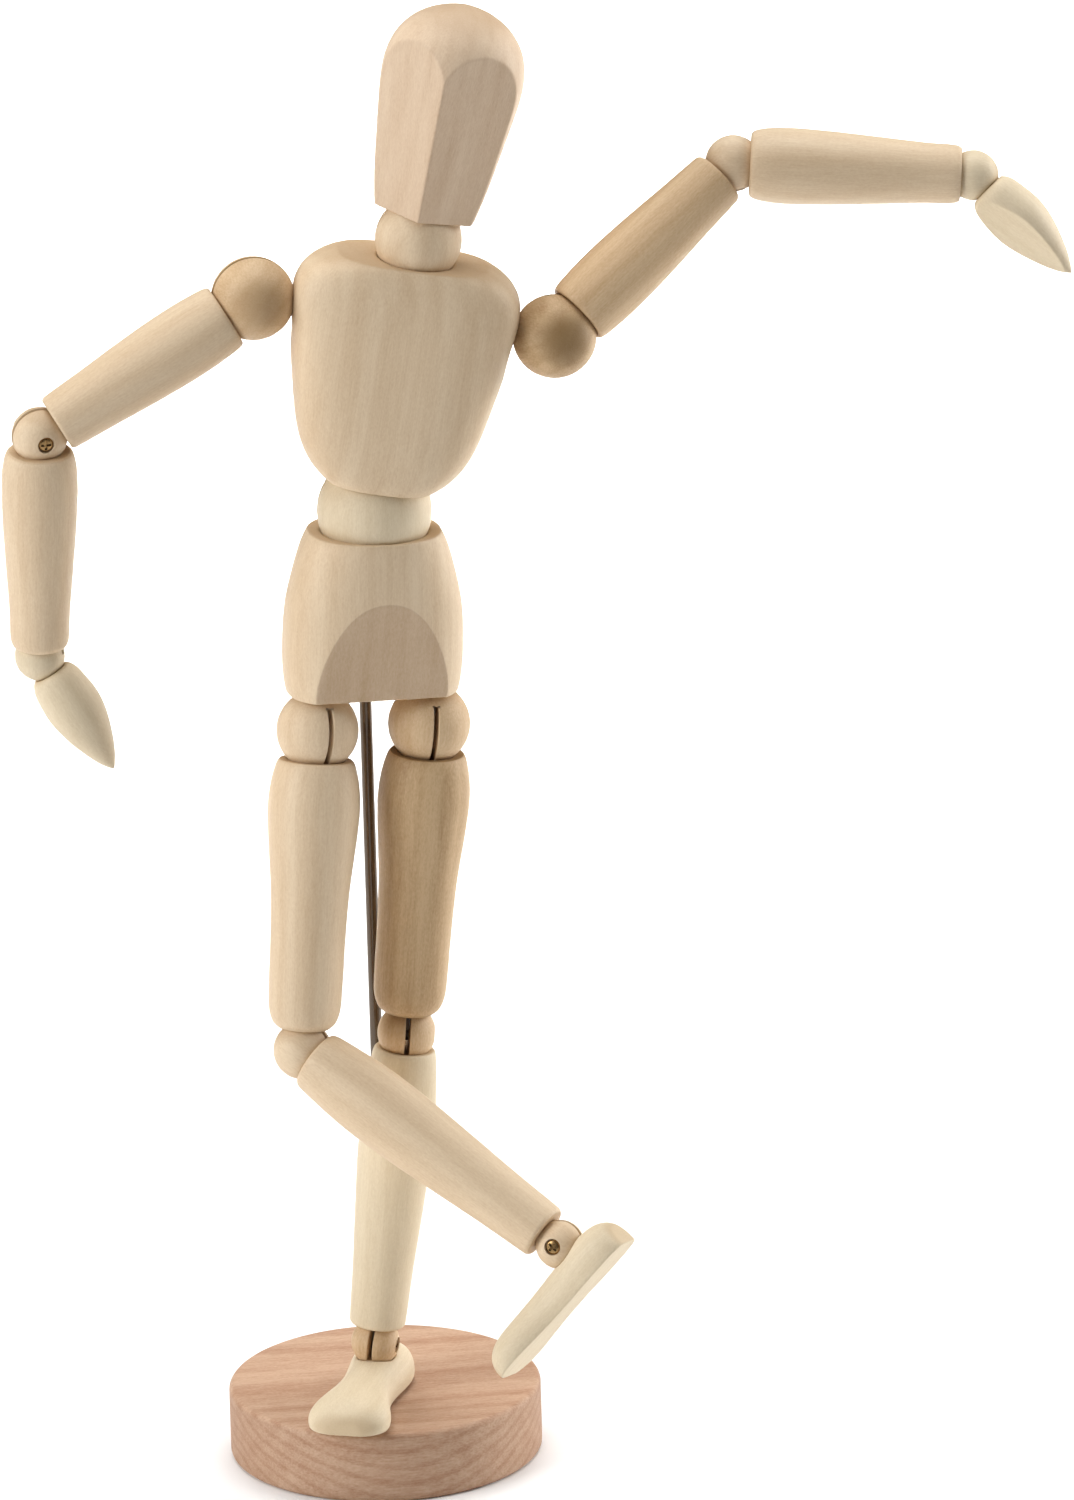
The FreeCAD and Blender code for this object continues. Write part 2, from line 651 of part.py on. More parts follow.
WAIST_PIN = CHEST.Rotation.multVec(Vector(0, -1, 0))
WAIST_TILT_AXIS = PELVIS.Rotation.multVec(Vector(1, 0, 0))
NECK_PIN = square_to(CHEST.Rotation.multVec(Vector(0, -1, 0)), HEAD_AXIS)
NECK_TILT_AXIS = CHEST.Rotation.multVec(Vector(1, 0, 0))


def torso_nodes():
    """Stand, pelvis, waist, chest, neck and head."""
    waist = frame(WAIST, SPINE, WAIST_PIN * -1)
    neck = frame(NECK, HEAD_AXIS, NECK_PIN * -1)
    return {
        "base_disc": base_disc(),
        "support_rod": support_rod(),
        "pelvis": pelvis(),
        "hip_springs": hip_springs(),
        "waist_ball": placed(plugged_ball(WAIST_BALL, TORSO_SLOT, WAIST_BAR), waist),
        "waist_link": placed(link(WAIST_REACH, SPINE_SHANK, WAIST_BAR), waist),
        "chest": chest(),
        "spine_spring": placed(spring_on_link(WAIST_REACH, SPINE_BEARING, SPINE_SHANK), CHEST),
        "shoulder_spring": shoulder_spring(),
        "neck_ball": placed(plugged_ball(NECK_BALL, TORSO_SLOT, TORSO_BAR), neck),
        "neck_link": placed(link(HEAD_REACH, HEAD_SHANK, TORSO_BAR, False), neck),
        "head": head(),
    }


def arm_nodes(at):
    """Pieces of one arm, from the shoulder to the hand."""
    wrist = placed(plugged_ball(WRIST_BALL, WRIST_SLOT, WRIST_BAR), at["wrist_ball"])
    spring = spring_on_link(SHOULDER_REACH, LIMB_BEARING, LIMB_SHANK)
    return {
        "shoulder_ball": placed(plugged_ball(SHOULDER_BALL, TORSO_SLOT, TORSO_BAR),
                                at["shoulder_ball"]),
        "shoulder_link": placed(link(SHOULDER_REACH, LIMB_SHANK, TORSO_BAR), at["shoulder_link"]),
        "upper_arm": placed(upper_arm(), at["upper_arm"]),
        "arm_spring": placed(spring, at["upper_arm"]),
        "elbow_link": placed(link(ELBOW_REACH, FIXED_SHANK, collar=False), at["elbow_link"]),
        "elbow_ball": placed(slotted_ball(ELBOW_BALL, HINGE_SLOT), at["elbow_ball"]),
        "elbow_screw": placed(cross_screw(ELBOW_BALL), at["elbow_ball"]),
        "forearm": placed(forearm(), at["forearm"]),
        "wrist_link": placed(link(WRIST_REACH, FIXED_SHANK, WRIST_BAR, False), at["wrist_link"]),
        "wrist_ball": wrist.fuse(placed(peg(WRIST_BALL, UP), at["hand"])),
        "hand": placed(hand(), at["hand"]),
    }


def leg_nodes(at):
    """Pieces of one leg, from the hip to the foot."""
    ankle = placed(slotted_ball(ANKLE_BALL, HINGE_SLOT), at["ankle_ball"])
    spring = spring_on_link(HIP_REACH, LIMB_BEARING, LIMB_SHANK)
    return {
        "hip_ball": placed(plugged_ball(HIP_BALL, HIP_SLOT, TORSO_BAR), at["hip_ball"]),
        "hip_link": placed(link(HIP_REACH, LIMB_SHANK, TORSO_BAR), at["hip_link"]),
        "thigh": placed(thigh(), at["thigh"]),
        "thigh_spring": placed(spring, at["thigh"]),
        "knee_link": placed(link(KNEE_REACH, FIXED_SHANK, collar=False), at["knee_link"]),
        "knee_ball": placed(slotted_ball(KNEE_BALL, KNEE_SLOT), at["knee_ball"]),
        "knee_screw": placed(cross_screw(KNEE_BALL), at["knee_ball"]),
        "shin": placed(shin(), at["shin"]),
        "ankle_link": placed(link(ANKLE_REACH, FIXED_SHANK, collar=False), at["ankle_link"]),
        "ankle_ball": ankle.fuse(placed(peg(ANKLE_BALL, UP * -1), at["foot"])),
        "ankle_screw": placed(cross_screw(ANKLE_BALL), at["ankle_ball"]),
        "foot": placed(foot(), at["foot"]),
    }


def build():
    """Every node's solid in its place."""
    nodes = torso_nodes()
    for side, at in ARMS.items():
        nodes.update({side + "_" + name: solid for name, solid in arm_nodes(at).items()})
    for side, at in LEGS.items():
        nodes.update({side + "_" + name: solid for name, solid in leg_nodes(at).items()})
    return nodes


os.makedirs("parts", exist_ok=True)
for name, shape in build().items():
    solids = shape.Solids
    print(f"{name:22s} solids {len(solids)} valid {shape.isValid()} volume {shape.Volume:9.1f}")
    shape.exportStep(f"parts/{name}.step")
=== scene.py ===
"""Looks of a jointed wooden artist mannequin that dances on one leg on a round stand."""

import json
import logging
import math
from dataclasses import dataclass, field
from enum import Enum
from functools import partial
from typing import Any, Callable, ClassVar, Iterable, Sequence

import bpy
from mathutils import Matrix, Vector

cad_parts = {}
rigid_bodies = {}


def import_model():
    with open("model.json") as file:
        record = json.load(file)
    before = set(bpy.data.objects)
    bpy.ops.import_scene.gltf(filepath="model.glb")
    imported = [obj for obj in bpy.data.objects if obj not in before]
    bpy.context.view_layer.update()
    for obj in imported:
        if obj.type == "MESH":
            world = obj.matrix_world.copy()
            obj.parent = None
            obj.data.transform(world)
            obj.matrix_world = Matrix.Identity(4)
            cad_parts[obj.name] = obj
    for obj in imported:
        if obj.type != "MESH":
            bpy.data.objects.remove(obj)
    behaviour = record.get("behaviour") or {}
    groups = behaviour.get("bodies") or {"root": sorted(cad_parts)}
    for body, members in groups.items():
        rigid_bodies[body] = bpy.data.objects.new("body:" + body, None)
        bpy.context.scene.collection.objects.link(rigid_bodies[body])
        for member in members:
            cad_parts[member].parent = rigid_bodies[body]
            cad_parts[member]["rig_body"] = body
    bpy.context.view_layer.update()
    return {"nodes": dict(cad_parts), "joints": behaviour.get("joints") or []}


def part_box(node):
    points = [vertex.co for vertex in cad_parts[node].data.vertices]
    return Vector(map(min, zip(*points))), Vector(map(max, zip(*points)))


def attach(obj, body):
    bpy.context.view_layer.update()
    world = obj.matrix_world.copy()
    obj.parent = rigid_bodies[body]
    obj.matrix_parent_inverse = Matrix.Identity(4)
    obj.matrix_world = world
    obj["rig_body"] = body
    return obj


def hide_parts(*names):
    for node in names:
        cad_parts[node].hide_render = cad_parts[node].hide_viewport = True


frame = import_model()

LOG = logging.getLogger("mannequin")
MM = 0.001
JOINTS: dict[str, dict[str, Any]] = {joint["name"]: joint for joint in frame["joints"]}

Point = tuple[float, float]
Object = bpy.types.Object
Material = bpy.types.Material
Node = bpy.types.Node
Socket = bpy.types.NodeSocket
Tree = bpy.types.NodeTree

LATHE_STEPS = 96
SMALL_LATHE_STEPS = 48    # for pegs and drills
METAL_LATHE_STEPS = 64    # for the rod and the screws
BASE_LATHE_STEPS = 192
CARVED_PASSES = 3         # smoothing passes for hands and feet
JOIN = 1e-6               # metres: points nearer than this are one point
SMOOTH_ANGLE = 38.0       # degrees: edges flatter than this are shaded smooth
DULL_AND_SHADE = "D2C4BE"           # what a planed face takes from the wood's colour: partly duller planed wood, partly painted shade


# -------- where things are
def centre_of(joint: str) -> Vector:
    """Centre of a joint, in metres."""
    return Vector(JOINTS[joint]["pos_m"])


def axis_of(joint: str) -> Vector:
    """Direction of a joint's axis."""
    return Vector(JOINTS[joint]["axis"]).normalized()


def facing(screw: str, centre: Vector, pin: Vector) -> Vector:
    """The way along a pin through a ball's centre that a cross screw's head points."""
    low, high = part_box(screw)
    return pin if ((low + high) / 2 - centre).dot(pin) > 0 else -pin


def heading(turn: float, rise: float) -> Vector:
    """Unit vector in a level and upright direction.

    Args:
        turn: Degrees from +X towards +Y.
        rise: Degrees above the floor.

    Returns:
        The unit vector.
    """
    flat = math.cos(math.radians(rise))
    return Vector((flat * math.cos(math.radians(turn)),
                   flat * math.sin(math.radians(turn)),
                   math.sin(math.radians(rise))))


@dataclass(frozen=True)
class Place:
    """A piece's own frame: its origin, the way its +Z points and, as near as can be, its +X."""

    origin: Vector
    along: Vector
    across: Vector

    @property
    def matrix(self) -> Matrix:
        """The frame as a matrix."""
        z_axis = self.along.normalized()
        x_axis = (self.across - z_axis * self.across.dot(z_axis)).normalized()
        turn = Matrix((x_axis, z_axis.cross(x_axis), z_axis)).transposed()
        return Matrix.Translation(self.origin) @ turn.to_4x4()


# -------- finishes
def linear(code: str) -> tuple[float, float, float, float]:
    """Turns an sRGB colour to a linear one.

    Args:
        code: Six hex digits.

    Returns:
        Linear red, green, blue and alpha.
    """
    parts = [int(code[i:i + 2], 16) / 255 for i in (0, 2, 4)]
    red, green, blue = (c / 12.92 if c <= 0.04045 else ((c + 0.055) / 1.055) ** 2.4
                        for c in parts)
    return red, green, blue, 1.0


def add_node(tree: Tree, kind: str, settings: dict[Any, Any] | None = None,
             links: dict[Any, Any] | None = None) -> Node:
    """Adds a shader node.

    Args:
        tree: The node tree.
        kind: The node's type name without its ShaderNode.
        settings: Values by property name, or by input name or number.
        links: Output sockets by input name or number.

    Returns:
        The new node.
    """
    node = tree.nodes.new("ShaderNode" + kind)
    for key, value in (settings or {}).items():
        if isinstance(key, str) and hasattr(node, key):
            setattr(node, key, value)
        else:
            node.inputs[key].default_value = value
    for key, socket in (links or {}).items():
        tree.links.new(socket, node.inputs[key])
    return node


def new_material(name: str) -> tuple[Material, Tree, Node]:
    """Makes an empty material.

    Args:
        name: The material's name.

    Returns:
        The material, its node tree and its surface shader.
    """
    material = bpy.data.materials.new(name)
    material.use_nodes = True
    tree = material.node_tree
    return material, tree, tree.nodes["Principled BSDF"]


@dataclass(frozen=True)
class PlanedFace:
    """A flat face cut with a plane, darkened partly as duller torn fibres and partly as painted
    shade.
    """

    point: Vector                      # any point of the face
    normal: Vector
    # how much the face is darkened: partly duller planed wood, partly painted shade
    dark: float = 0.5
    sharp_mm: Point = (0.05, 0.12)     # its look fades out between these heights off the plane

    def share(self, tree: Tree, where: Node) -> Socket:
        """How much a place on the piece belongs to the face.

        Args:
            tree: The node tree.
            where: The texture coordinate node.

        Returns:
            A socket that gives dark on the face and 0 off it.
        """
        normal = self.normal.normalized()
        add = partial(add_node, tree)
        from_point = add("VectorMath", {"operation": "SUBTRACT", 1: self.point},
                         {0: where.outputs["Object"]})
        height = add("VectorMath", {"operation": "DOT_PRODUCT", 1: normal},
                     {0: from_point.outputs[0]})
        off = add("Math", {"operation": "ABSOLUTE"}, {0: height.outputs["Value"]})
        near, far = self.sharp_mm
        on_face = add("MapRange",
                      {"interpolation_type": "SMOOTHSTEP", "From Min": near * MM,
                       "From Max": far * MM, "To Min": self.dark, "To Max": 0.0},
                      {"Value": off.outputs[0]})
        return on_face.outputs[0]


@dataclass(frozen=True)
class SandedWood:
    """Close-grained wood, turned or planed, sanded and sealed: satin, with faint long fibres.

    Light passes a little way along cut fibres, so end grain reads darker than the long faces.
    """

    name: str
    face: str                     # early wood on a long face
    streak: str                   # late wood and darker heart streaks
    end: str                      # end grain
    ring_mm: float = 3.4          # growth rings of lime are 2 to 4 mm apart
    pith_mm: Point = (19.0, 11.0)     # the tree's centre from the piece's own axis
    fibre_mm: Point = (0.34, 9.0)   # drawn coarser than the real 0.03 mm, to show
    band_mm: Point = (4.5, 90.0)    # broad bands of colour
    speck_mm: Point = (1 / 3.2, 1 / 1.4)     # pores and sanding dust
    sway_mm: Point = (14.0, 60.0)   # length of a bend across and along the grain
    sway_by: float = 1.5                          # how far the grain bends, in mm
    late_from: float = 0.45                       # height of the ring's wave where it darkens
    ring_share: float = 0.06
    band_share: float = 0.50
    fibre_share: float = 0.35
    speck_share: float = 0.35
    end_share: float = 0.55
    end_from: float = 0.62                        # cosine to the grain where end grain starts
    darkness: float = 0.3                         # share of streak colour in plain wood
    roughness: float = 0.55
    rough_spread: float = 0.06
    relief_mm: float = 0.06                       # height of raised fibres
    relief: float = 0.35
    index: float = 1.5                            # of refraction, as wood and varnish have
    gloss: float = 0.35                           # below 0.5: the sealer is thin

    def material(self, piece: str, place: Place, shift: float,
                 faces: Sequence[PlanedFace] = ()) -> Material:
        """Makes the finish for one piece, with the grain along the piece's own Z.

        Args:
            piece: The piece's name.
            place: The piece's own frame.
            shift: How far into the log the piece was cut, in mm.
            faces: The piece's planed faces, tinted partly as duller wood and partly with painted
                shade.

        Returns:
            The material.
        """
        material, tree, shader = new_material(f"{self.name}_{piece}")
        add = partial(add_node, tree)
        where = add("TexCoord")
        matrix = place.matrix
        local = add("Mapping", {"vector_type": "TEXTURE", "Location": matrix.to_translation(),
                     "Rotation": matrix.to_euler(), "Scale": (MM, MM, MM)},
                    {"Vector": where.outputs["Object"]})
        moved = add("VectorMath",
                    {"operation": "ADD", 1: (self.pith_mm[0], self.pith_mm[1], shift)},
                    {0: local.outputs[0]})
        sway = self.noise(tree, moved, self.sway_mm, 1.0)
        bend = add("VectorMath",
                   {"operation": "MULTIPLY_ADD", 1: (2 * self.sway_by, 2 * self.sway_by, 0.0),
                    2: (-self.sway_by, -self.sway_by, 0.0)}, {0: sway.outputs["Color"]})
        log = add("VectorMath", {"operation": "ADD"}, {0: moved.outputs[0], 1: bend.outputs[0]})
        wave_unit = 2 * math.pi / 20     # the wave node's own ring spacing at scale 1
        rings = add("TexWave",
                    {"wave_type": "RINGS", "rings_direction": "Z", "wave_profile": "SIN",
                     "Scale": wave_unit / self.ring_mm, "Distortion": 0.6, "Detail": 2.0,
                     "Detail Scale": 0.5}, {"Vector": log.outputs[0]})
        late = add("MapRange",
                   {"interpolation_type": "SMOOTHSTEP", "From Min": self.late_from,
                    "From Max": 1.0}, {"Value": rings.outputs["Fac"]})
        bands = self.noise(tree, log, self.band_mm, 2.0)
        fibres = self.noise(tree, moved, self.fibre_mm, 3.0)
        specks = self.noise(tree, moved, self.speck_mm, 1.0)
        tone = self.share(tree, late.outputs[0], self.ring_share, 0.0, None)
        tone = self.share(tree, bands.outputs["Fac"], self.band_share, 0.5, tone)
        tone = self.share(tree, fibres.outputs["Fac"], self.fibre_share, 0.5, tone)
        tone = self.share(tree, specks.outputs["Fac"], self.speck_share, 0.5, tone)
        centred = add("Math", {"operation": "ADD", "use_clamp": True, 1: self.darkness}, {0: tone})
        long_face = add("Mix", {"data_type": "RGBA", 6: linear(self.face), 7: linear(self.streak)},
                        {0: centred.outputs[0]})
        with_grain = add("VectorMath", {"operation": "DOT_PRODUCT", 1: place.along.normalized()},
                         {0: where.outputs["Normal"]})
        cut_across = add("Math", {"operation": "ABSOLUTE"}, {0: with_grain.outputs["Value"]})
        cut_end = add("MapRange",
                      {"interpolation_type": "SMOOTHSTEP", "From Min": self.end_from,
                       "From Max": 1.0, "To Max": self.end_share},
                      {"Value": cut_across.outputs[0]})
        colour = add("Mix", {"data_type": "RGBA", 7: linear(self.end)},
                     {0: cut_end.outputs[0], 6: long_face.outputs[2]})
        surface = colour.outputs[2]
        # planed faces get a multiplied tint: partly duller planed wood, partly painted shade
        for face in faces:
            dulled_and_shaded = add("Mix", {"data_type": "RGBA", "blend_type": "MULTIPLY", 7: linear(DULL_AND_SHADE)},
                         {0: face.share(tree, where), 6: surface})
            surface = dulled_and_shaded.outputs[2]
        tree.links.new(surface, shader.inputs["Base Color"])
        rough = add("MapRange",
                    {"To Min": self.roughness - self.rough_spread,
                     "To Max": self.roughness + self.rough_spread},
                    {"Value": specks.outputs["Fac"]})
        tree.links.new(rough.outputs[0], shader.inputs["Roughness"])
        relief = add("Math", {"operation": "ADD"},
                     {0: fibres.outputs["Fac"], 1: specks.outputs["Fac"]})
        bump = add("Bump", {"Strength": self.relief, "Distance": self.relief_mm * MM},
                   {"Height": relief.outputs[0]})
        tree.links.new(bump.outputs[0], shader.inputs["Normal"])
        shader.inputs["IOR"].default_value = self.index
        shader.inputs["Specular IOR Level"].default_value = self.gloss
        return material

    @staticmethod
    def noise(tree: Tree, vector: Node, size_mm: Point, detail: float) -> Node:
        """Noise that is stretched along the grain.

        Args:
            tree: The node tree.
            vector: The node whose first output is the place in mm.
            size_mm: Size of a feature across the grain and along it.
            detail: How many finer layers are added.

        Returns:
            The noise node.
        """
        across, along = size_mm
        stretched = add_node(tree, "VectorMath",
                             {"operation": "MULTIPLY", 1: (1 / across, 1 / across, 1 / along)},
                             {0: vector.outputs[0]})
        return add_node(tree, "TexNoise", {"Scale": 1.0, "Detail": detail},
                        {"Vector": stretched.outputs[0]})

    @staticmethod
    def share(tree: Tree, value: Socket, weight: float, middle: float,
              total: Socket | None) -> Socket:
        """Adds a weighted pattern to a running total.

        Args:
            tree: The node tree.
            value: The pattern, from 0 to 1.
            weight: How much it counts.
            middle: The value of the pattern that leaves the total as it is.
            total: The total so far.

        Returns:
            The new total.
        """
        centred = add_node(tree, "Math", {"operation": "SUBTRACT", 1: middle}, {0: value})
        links = {0: centred.outputs[0]}
        if total is not None:
            links[2] = total
        summed = add_node(tree, "Math", {"operation": "MULTIPLY_ADD", 1: weight * 2,
                                                   2: 0.0}, links)
        return summed.outputs[0]


@dataclass(frozen=True)
class DrawnSteel:
    """Steel wire, rod or strip, drawn through a die: bright, with fine scratches along it."""

    name: str
    colour: str
    roughness: float = 0.24
    scratch_mm: Point = (0.12, 14.0)     # size of a scratch across and along
    scratch_depth_mm: float = 0.01
    scratch_relief: float = 0.2
    duller: float = 0.1        # how much a scratch adds to the roughness at most
    brighter: float = 0.08     # how much bare metal takes from it

    def material(self, piece: str, place: Place) -> Material:
        """Makes the finish for one piece.

        Args:
            piece: The piece's name.
            place: The piece's own frame; the scratches run along its Z.

        Returns:
            The material.
        """
        material, tree, shader = new_material(f"{self.name}_{piece}")
        add = partial(add_node, tree)
        where = add("TexCoord")
        matrix = place.matrix
        across, along = self.scratch_mm
        local = add("Mapping", {"vector_type": "TEXTURE", "Location": matrix.to_translation(),
                     "Rotation": matrix.to_euler(),
                     "Scale": (across * MM, across * MM, along * MM)},
                    {"Vector": where.outputs["Object"]})
        scratches = add("TexNoise", {"Scale": 1.0, "Detail": 2.0}, {"Vector": local.outputs[0]})
        rough = add("MapRange", {"To Min": self.roughness - self.brighter,
                     "To Max": self.roughness + self.duller}, {"Value": scratches.outputs["Fac"]})
        bump = add("Bump",
                   {"Strength": self.scratch_relief, "Distance": self.scratch_depth_mm * MM},
                   {"Height": scratches.outputs["Fac"]})
        tree.links.new(rough.outputs[0], shader.inputs["Roughness"])
        tree.links.new(bump.outputs[0], shader.inputs["Normal"])
        shader.inputs["Base Color"].default_value = linear(self.colour)
        shader.inputs["Metallic"].default_value = 1.0
        return material


class Tone(Enum):
    """Sticks of lime wood of different colour, which a maker picks at random."""

    PALE = SandedWood("pale_lime", "E6D6B9", "D2BE9C", "C3A882", band_share=0.35)
    CREAM = SandedWood("cream_lime", "E5CFB0", "CDB08C", "BB9C75")
    ROSY = SandedWood("rosy_lime", "E5CEB2", "CFB191", "BC9C78")
    HONEY = SandedWood("honey_lime", "DCC09A", "BE9A70", "AB8960")
    TAN = SandedWood("tan_lime", "CEB088", "A48157", "8B6D45", band_share=0.7, end_share=0.8)


# steamed beech, sanded and unsealed: pinkish brown, with short dark flecks and lying rings
BASE_BEECH = SandedWood("steamed_beech", "C8A78C", "A47A5E", "9A6F4F", ring_mm=2.4,
                        pith_mm=(58.0, 9.0), fibre_mm=(0.4, 4.0), band_mm=(3.0, 60.0),
                        ring_share=0.14, band_share=0.45, fibre_share=0.6, end_share=0.3,
                        roughness=0.6)
# drawn rod, dulled by handling: dark, with one thin bright line down its side
ROD_STEEL = DrawnSteel("drawn_steel", "665A4F")
# blackened strip, spring wire as drawn, and screws with a warm bronze coat
LINK_STEEL = DrawnSteel("blackened_steel", "5B5148", roughness=0.4)
SPRING_STEEL = DrawnSteel("spring_steel", "8C8780", roughness=0.3)
SCREW_STEEL = DrawnSteel("bronzed_steel", "A38459", roughness=0.28)


# -------- workshop
def clear_selection() -> None:
    """Leaves nothing selected."""
    bpy.ops.object.select_all(action="DESELECT")


def take(piece: Object) -> None:
    """Selects one piece alone and makes it the active one."""
    clear_selection()
    piece.select_set(True)
    bpy.context.view_layer.objects.active = piece


def flowing(points: Sequence[Point], per_span: int = 5) -> list[Point]:
    """Draws a smooth outline through a turner's pattern points.

    Args:
        points: (height, radius) points in mm.
        per_span: Steps between one point and the next.

    Returns:
        The points of the smooth outline.
    """
    spans = [math.dist(a, b) ** 0.5 for a, b in zip(points, points[1:])]
    slopes = [((b[0] - a[0]) / s, (b[1] - a[1]) / s)
              for a, b, s in zip(points, points[1:], spans)]
    tangents = [slopes[0]]
    for before, after, short, long in zip(slopes, slopes[1:], spans, spans[1:]):
        tangents.append(tuple((p * long + q * short) / (short + long)
                              for p, q in zip(before, after)))
    tangents.append(slopes[-1])
    line = [points[0]]
    for i, span in enumerate(spans):
        for step in range(1, per_span + 1):
            t = step / per_span
            weights = (2 * t ** 3 - 3 * t ** 2 + 1, 3 * t ** 2 - 2 * t ** 3,
                       (t ** 3 - 2 * t ** 2 + t) * span, (t ** 3 - t ** 2) * span)
            parts = (points[i], points[i + 1], tangents[i], tangents[i + 1])
            line.append(tuple(sum(w * part[axis] for w, part in zip(weights, parts))
                              for axis in (0, 1)))
    return line


def arc(centre: float, radius: float, start: float, end: float, steps: int) -> list[Point]:
    """Points on a circle whose centre is on the axis.

    Args:
        centre: Height of the centre, in mm.
        radius: Radius, in mm.
        start: First angle from the +Z direction, in radians.
        end: Last angle.
        steps: Number of steps.

    Returns:
        (height, radius) points.
    """
    angles = (start + (end - start) * step / steps for step in range(steps + 1))
    return [(centre + radius * math.cos(a), radius * math.sin(a)) for a in angles]


def eased(before: Point, corner: Point, after: Point, radius: float,
          steps: int = 4) -> list[Point]:
    """Rounds one corner of an outline, as a touch of sandpaper does.

    Args:
        before: The point before the corner.
        corner: The corner.
        after: The point after it.
        radius: How far from the corner the rounding starts, in mm.
        steps: Number of steps.

    Returns:
        The points that replace the corner.
    """
    ends = []
    for other in (before, after):
        length = math.dist(corner, other)
        share = min(radius / length, 0.5)
        ends.append(tuple(c + (o - c) * share for c, o in zip(corner, other)))
    first, last = ends
    return [tuple((1 - t) ** 2 * a + 2 * t * (1 - t) * c + t ** 2 * b
                  for a, c, b in zip(first, corner, last))
            for t in (step / steps for step in range(steps + 1))]


def lathe(name: str, outline: Sequence[Point], steps: int = LATHE_STEPS) -> Object:
    """Turns a closed outline about Z, as on a lathe.

    Args:
        name: The piece's name.
        outline: (height, radius) points in mm, from the axis round to the axis.
        steps: Steps in a full turn.

    Returns:
        The turned piece.
    """
    clear_selection()
    bpy.ops.mesh.primitive_circle_add(vertices=3, radius=MM)
    piece = bpy.context.object
    piece.name = name
    bpy.ops.object.mode_set(mode="EDIT")
    bpy.ops.mesh.select_mode(type="VERT")
    bpy.ops.mesh.select_all(action="SELECT")
    bpy.ops.mesh.merge(type="CENTER")
    height, radius = outline[0]
    bpy.ops.transform.translate(value=(radius * MM, 0, height * MM))
    for (low, near), (high, far) in zip(outline, outline[1:]):
        step = ((far - near) * MM, 0, (high - low) * MM)
        bpy.ops.mesh.extrude_region_move(TRANSFORM_OT_translate={"value": step})
    bpy.ops.mesh.select_all(action="SELECT")
    bpy.ops.mesh.spin(steps=steps, angle=2 * math.pi, center=(0, 0, 0), axis=(0, 0, 1))
    close_mesh()
    return piece


def close_mesh() -> None:
    """Merges doubled points of the mesh in edit mode, turns its faces outwards and leaves it."""
    bpy.ops.mesh.select_all(action="SELECT")
    bpy.ops.mesh.remove_doubles(threshold=JOIN)
    bpy.ops.mesh.normals_make_consistent(inside=False)
    bpy.ops.object.mode_set(mode="OBJECT")


def block(name: str, low: Sequence[float], high: Sequence[float]) -> Object:
    """A box between two corners.

    Args:
        name: The piece's name.
        low: Lowest corner, in mm.
        high: Highest corner, in mm.

    Returns:
        The box.
    """
    clear_selection()
    middle = [(a + b) / 2 * MM for a, b in zip(low, high)]
    size = [(b - a) * MM for a, b in zip(low, high)]
    bpy.ops.mesh.primitive_cube_add(size=1, location=middle, scale=size)
    box = bpy.context.object
    box.name = name
    bpy.ops.object.transform_apply(location=True, rotation=True, scale=True)
    return box


def apply_modifier(piece: Object, kind: str, **settings: Any) -> None:
    """Adds a modifier with its settings by name and applies it."""
    take(piece)
    modifier = piece.modifiers.new(kind.lower(), kind)
    for key, value in settings.items():
        setattr(modifier, key, value)
    bpy.ops.object.modifier_apply(modifier=modifier.name)


def combine(piece: Object, tool: Object, operation: str) -> None:
    """Cuts a tool's shape from a piece or joins it on, and throws the tool away."""
    apply_modifier(piece, "BOOLEAN", operation=operation, solver="EXACT", object=tool)
    bpy.data.objects.remove(tool, do_unlink=True)


def soften_edges(piece: Object, width: float, least_angle: float,
                 wanted: Callable[[Vector, Vector], bool] | None = None,
                 steps: int = 3) -> None:
    """Rounds the sharp edges of a piece.

    Args:
        piece: The piece.
        width: Width of the rounding, in mm.
        least_angle: Edges sharper than this many degrees count.
        wanted: A test of an edge's two points in metres, or None for every sharp edge.
        steps: Steps across the rounding.
    """
    take(piece)
    bpy.ops.object.mode_set(mode="EDIT")
    bpy.ops.mesh.select_mode(type="EDGE")
    bpy.ops.mesh.select_all(action="DESELECT")
    bpy.ops.mesh.edges_select_sharp(sharpness=math.radians(least_angle))
    bpy.ops.object.mode_set(mode="OBJECT")
    mesh = piece.data
    chosen = [edge.index for edge in mesh.edges if edge.select]
    if wanted is not None:
        chosen = [i for i in chosen
                  if wanted(*[mesh.vertices[v].co for v in mesh.edges[i].vertices])]
    for group in (mesh.vertices, mesh.edges, mesh.polygons):
        group.foreach_set("select", [False] * len(group))
    for i in chosen:
        mesh.edges[i].select = True
        for v in mesh.edges[i].vertices:
            mesh.vertices[v].select = True
    bpy.ops.object.mode_set(mode="EDIT")
    bpy.ops.mesh.bevel(offset=width * MM, segments=steps, profile=0.5, clamp_overlap=True)
    bpy.ops.object.mode_set(mode="OBJECT")


def settle(piece: Object, place: Place) -> Object:
    """Puts a piece in its place, with the place in its mesh, and gives it back."""
    piece.data.transform(place.matrix)
    piece.data.update()
    return piece


def sanded_copy(node: str, name: str, grit_mm: float, passes: int) -> Object:
    """A finely divided copy of a CAD node with its sharp edges sanded off.

    Args:
        node: The CAD node.
        name: The new piece's name.
        grit_mm: Size of the copy's faces, in mm.
        passes: Smoothing passes.

    Returns:
        The copy.
    """
    copy = bpy.data.objects.new(name, frame["nodes"][node].data.copy())
    bpy.context.scene.collection.objects.link(copy)
    copy.data.materials.clear()
    take(copy)
    bpy.ops.object.mode_set(mode="EDIT")
    bpy.ops.mesh.select_all(action="SELECT")
    bpy.ops.mesh.remove_doubles(threshold=JOIN)
    bpy.ops.object.mode_set(mode="OBJECT")
    apply_modifier(copy, "REMESH", mode="VOXEL", voxel_size=grit_mm * MM)
    apply_modifier(copy, "SMOOTH", factor=0.5, iterations=passes)
    return copy


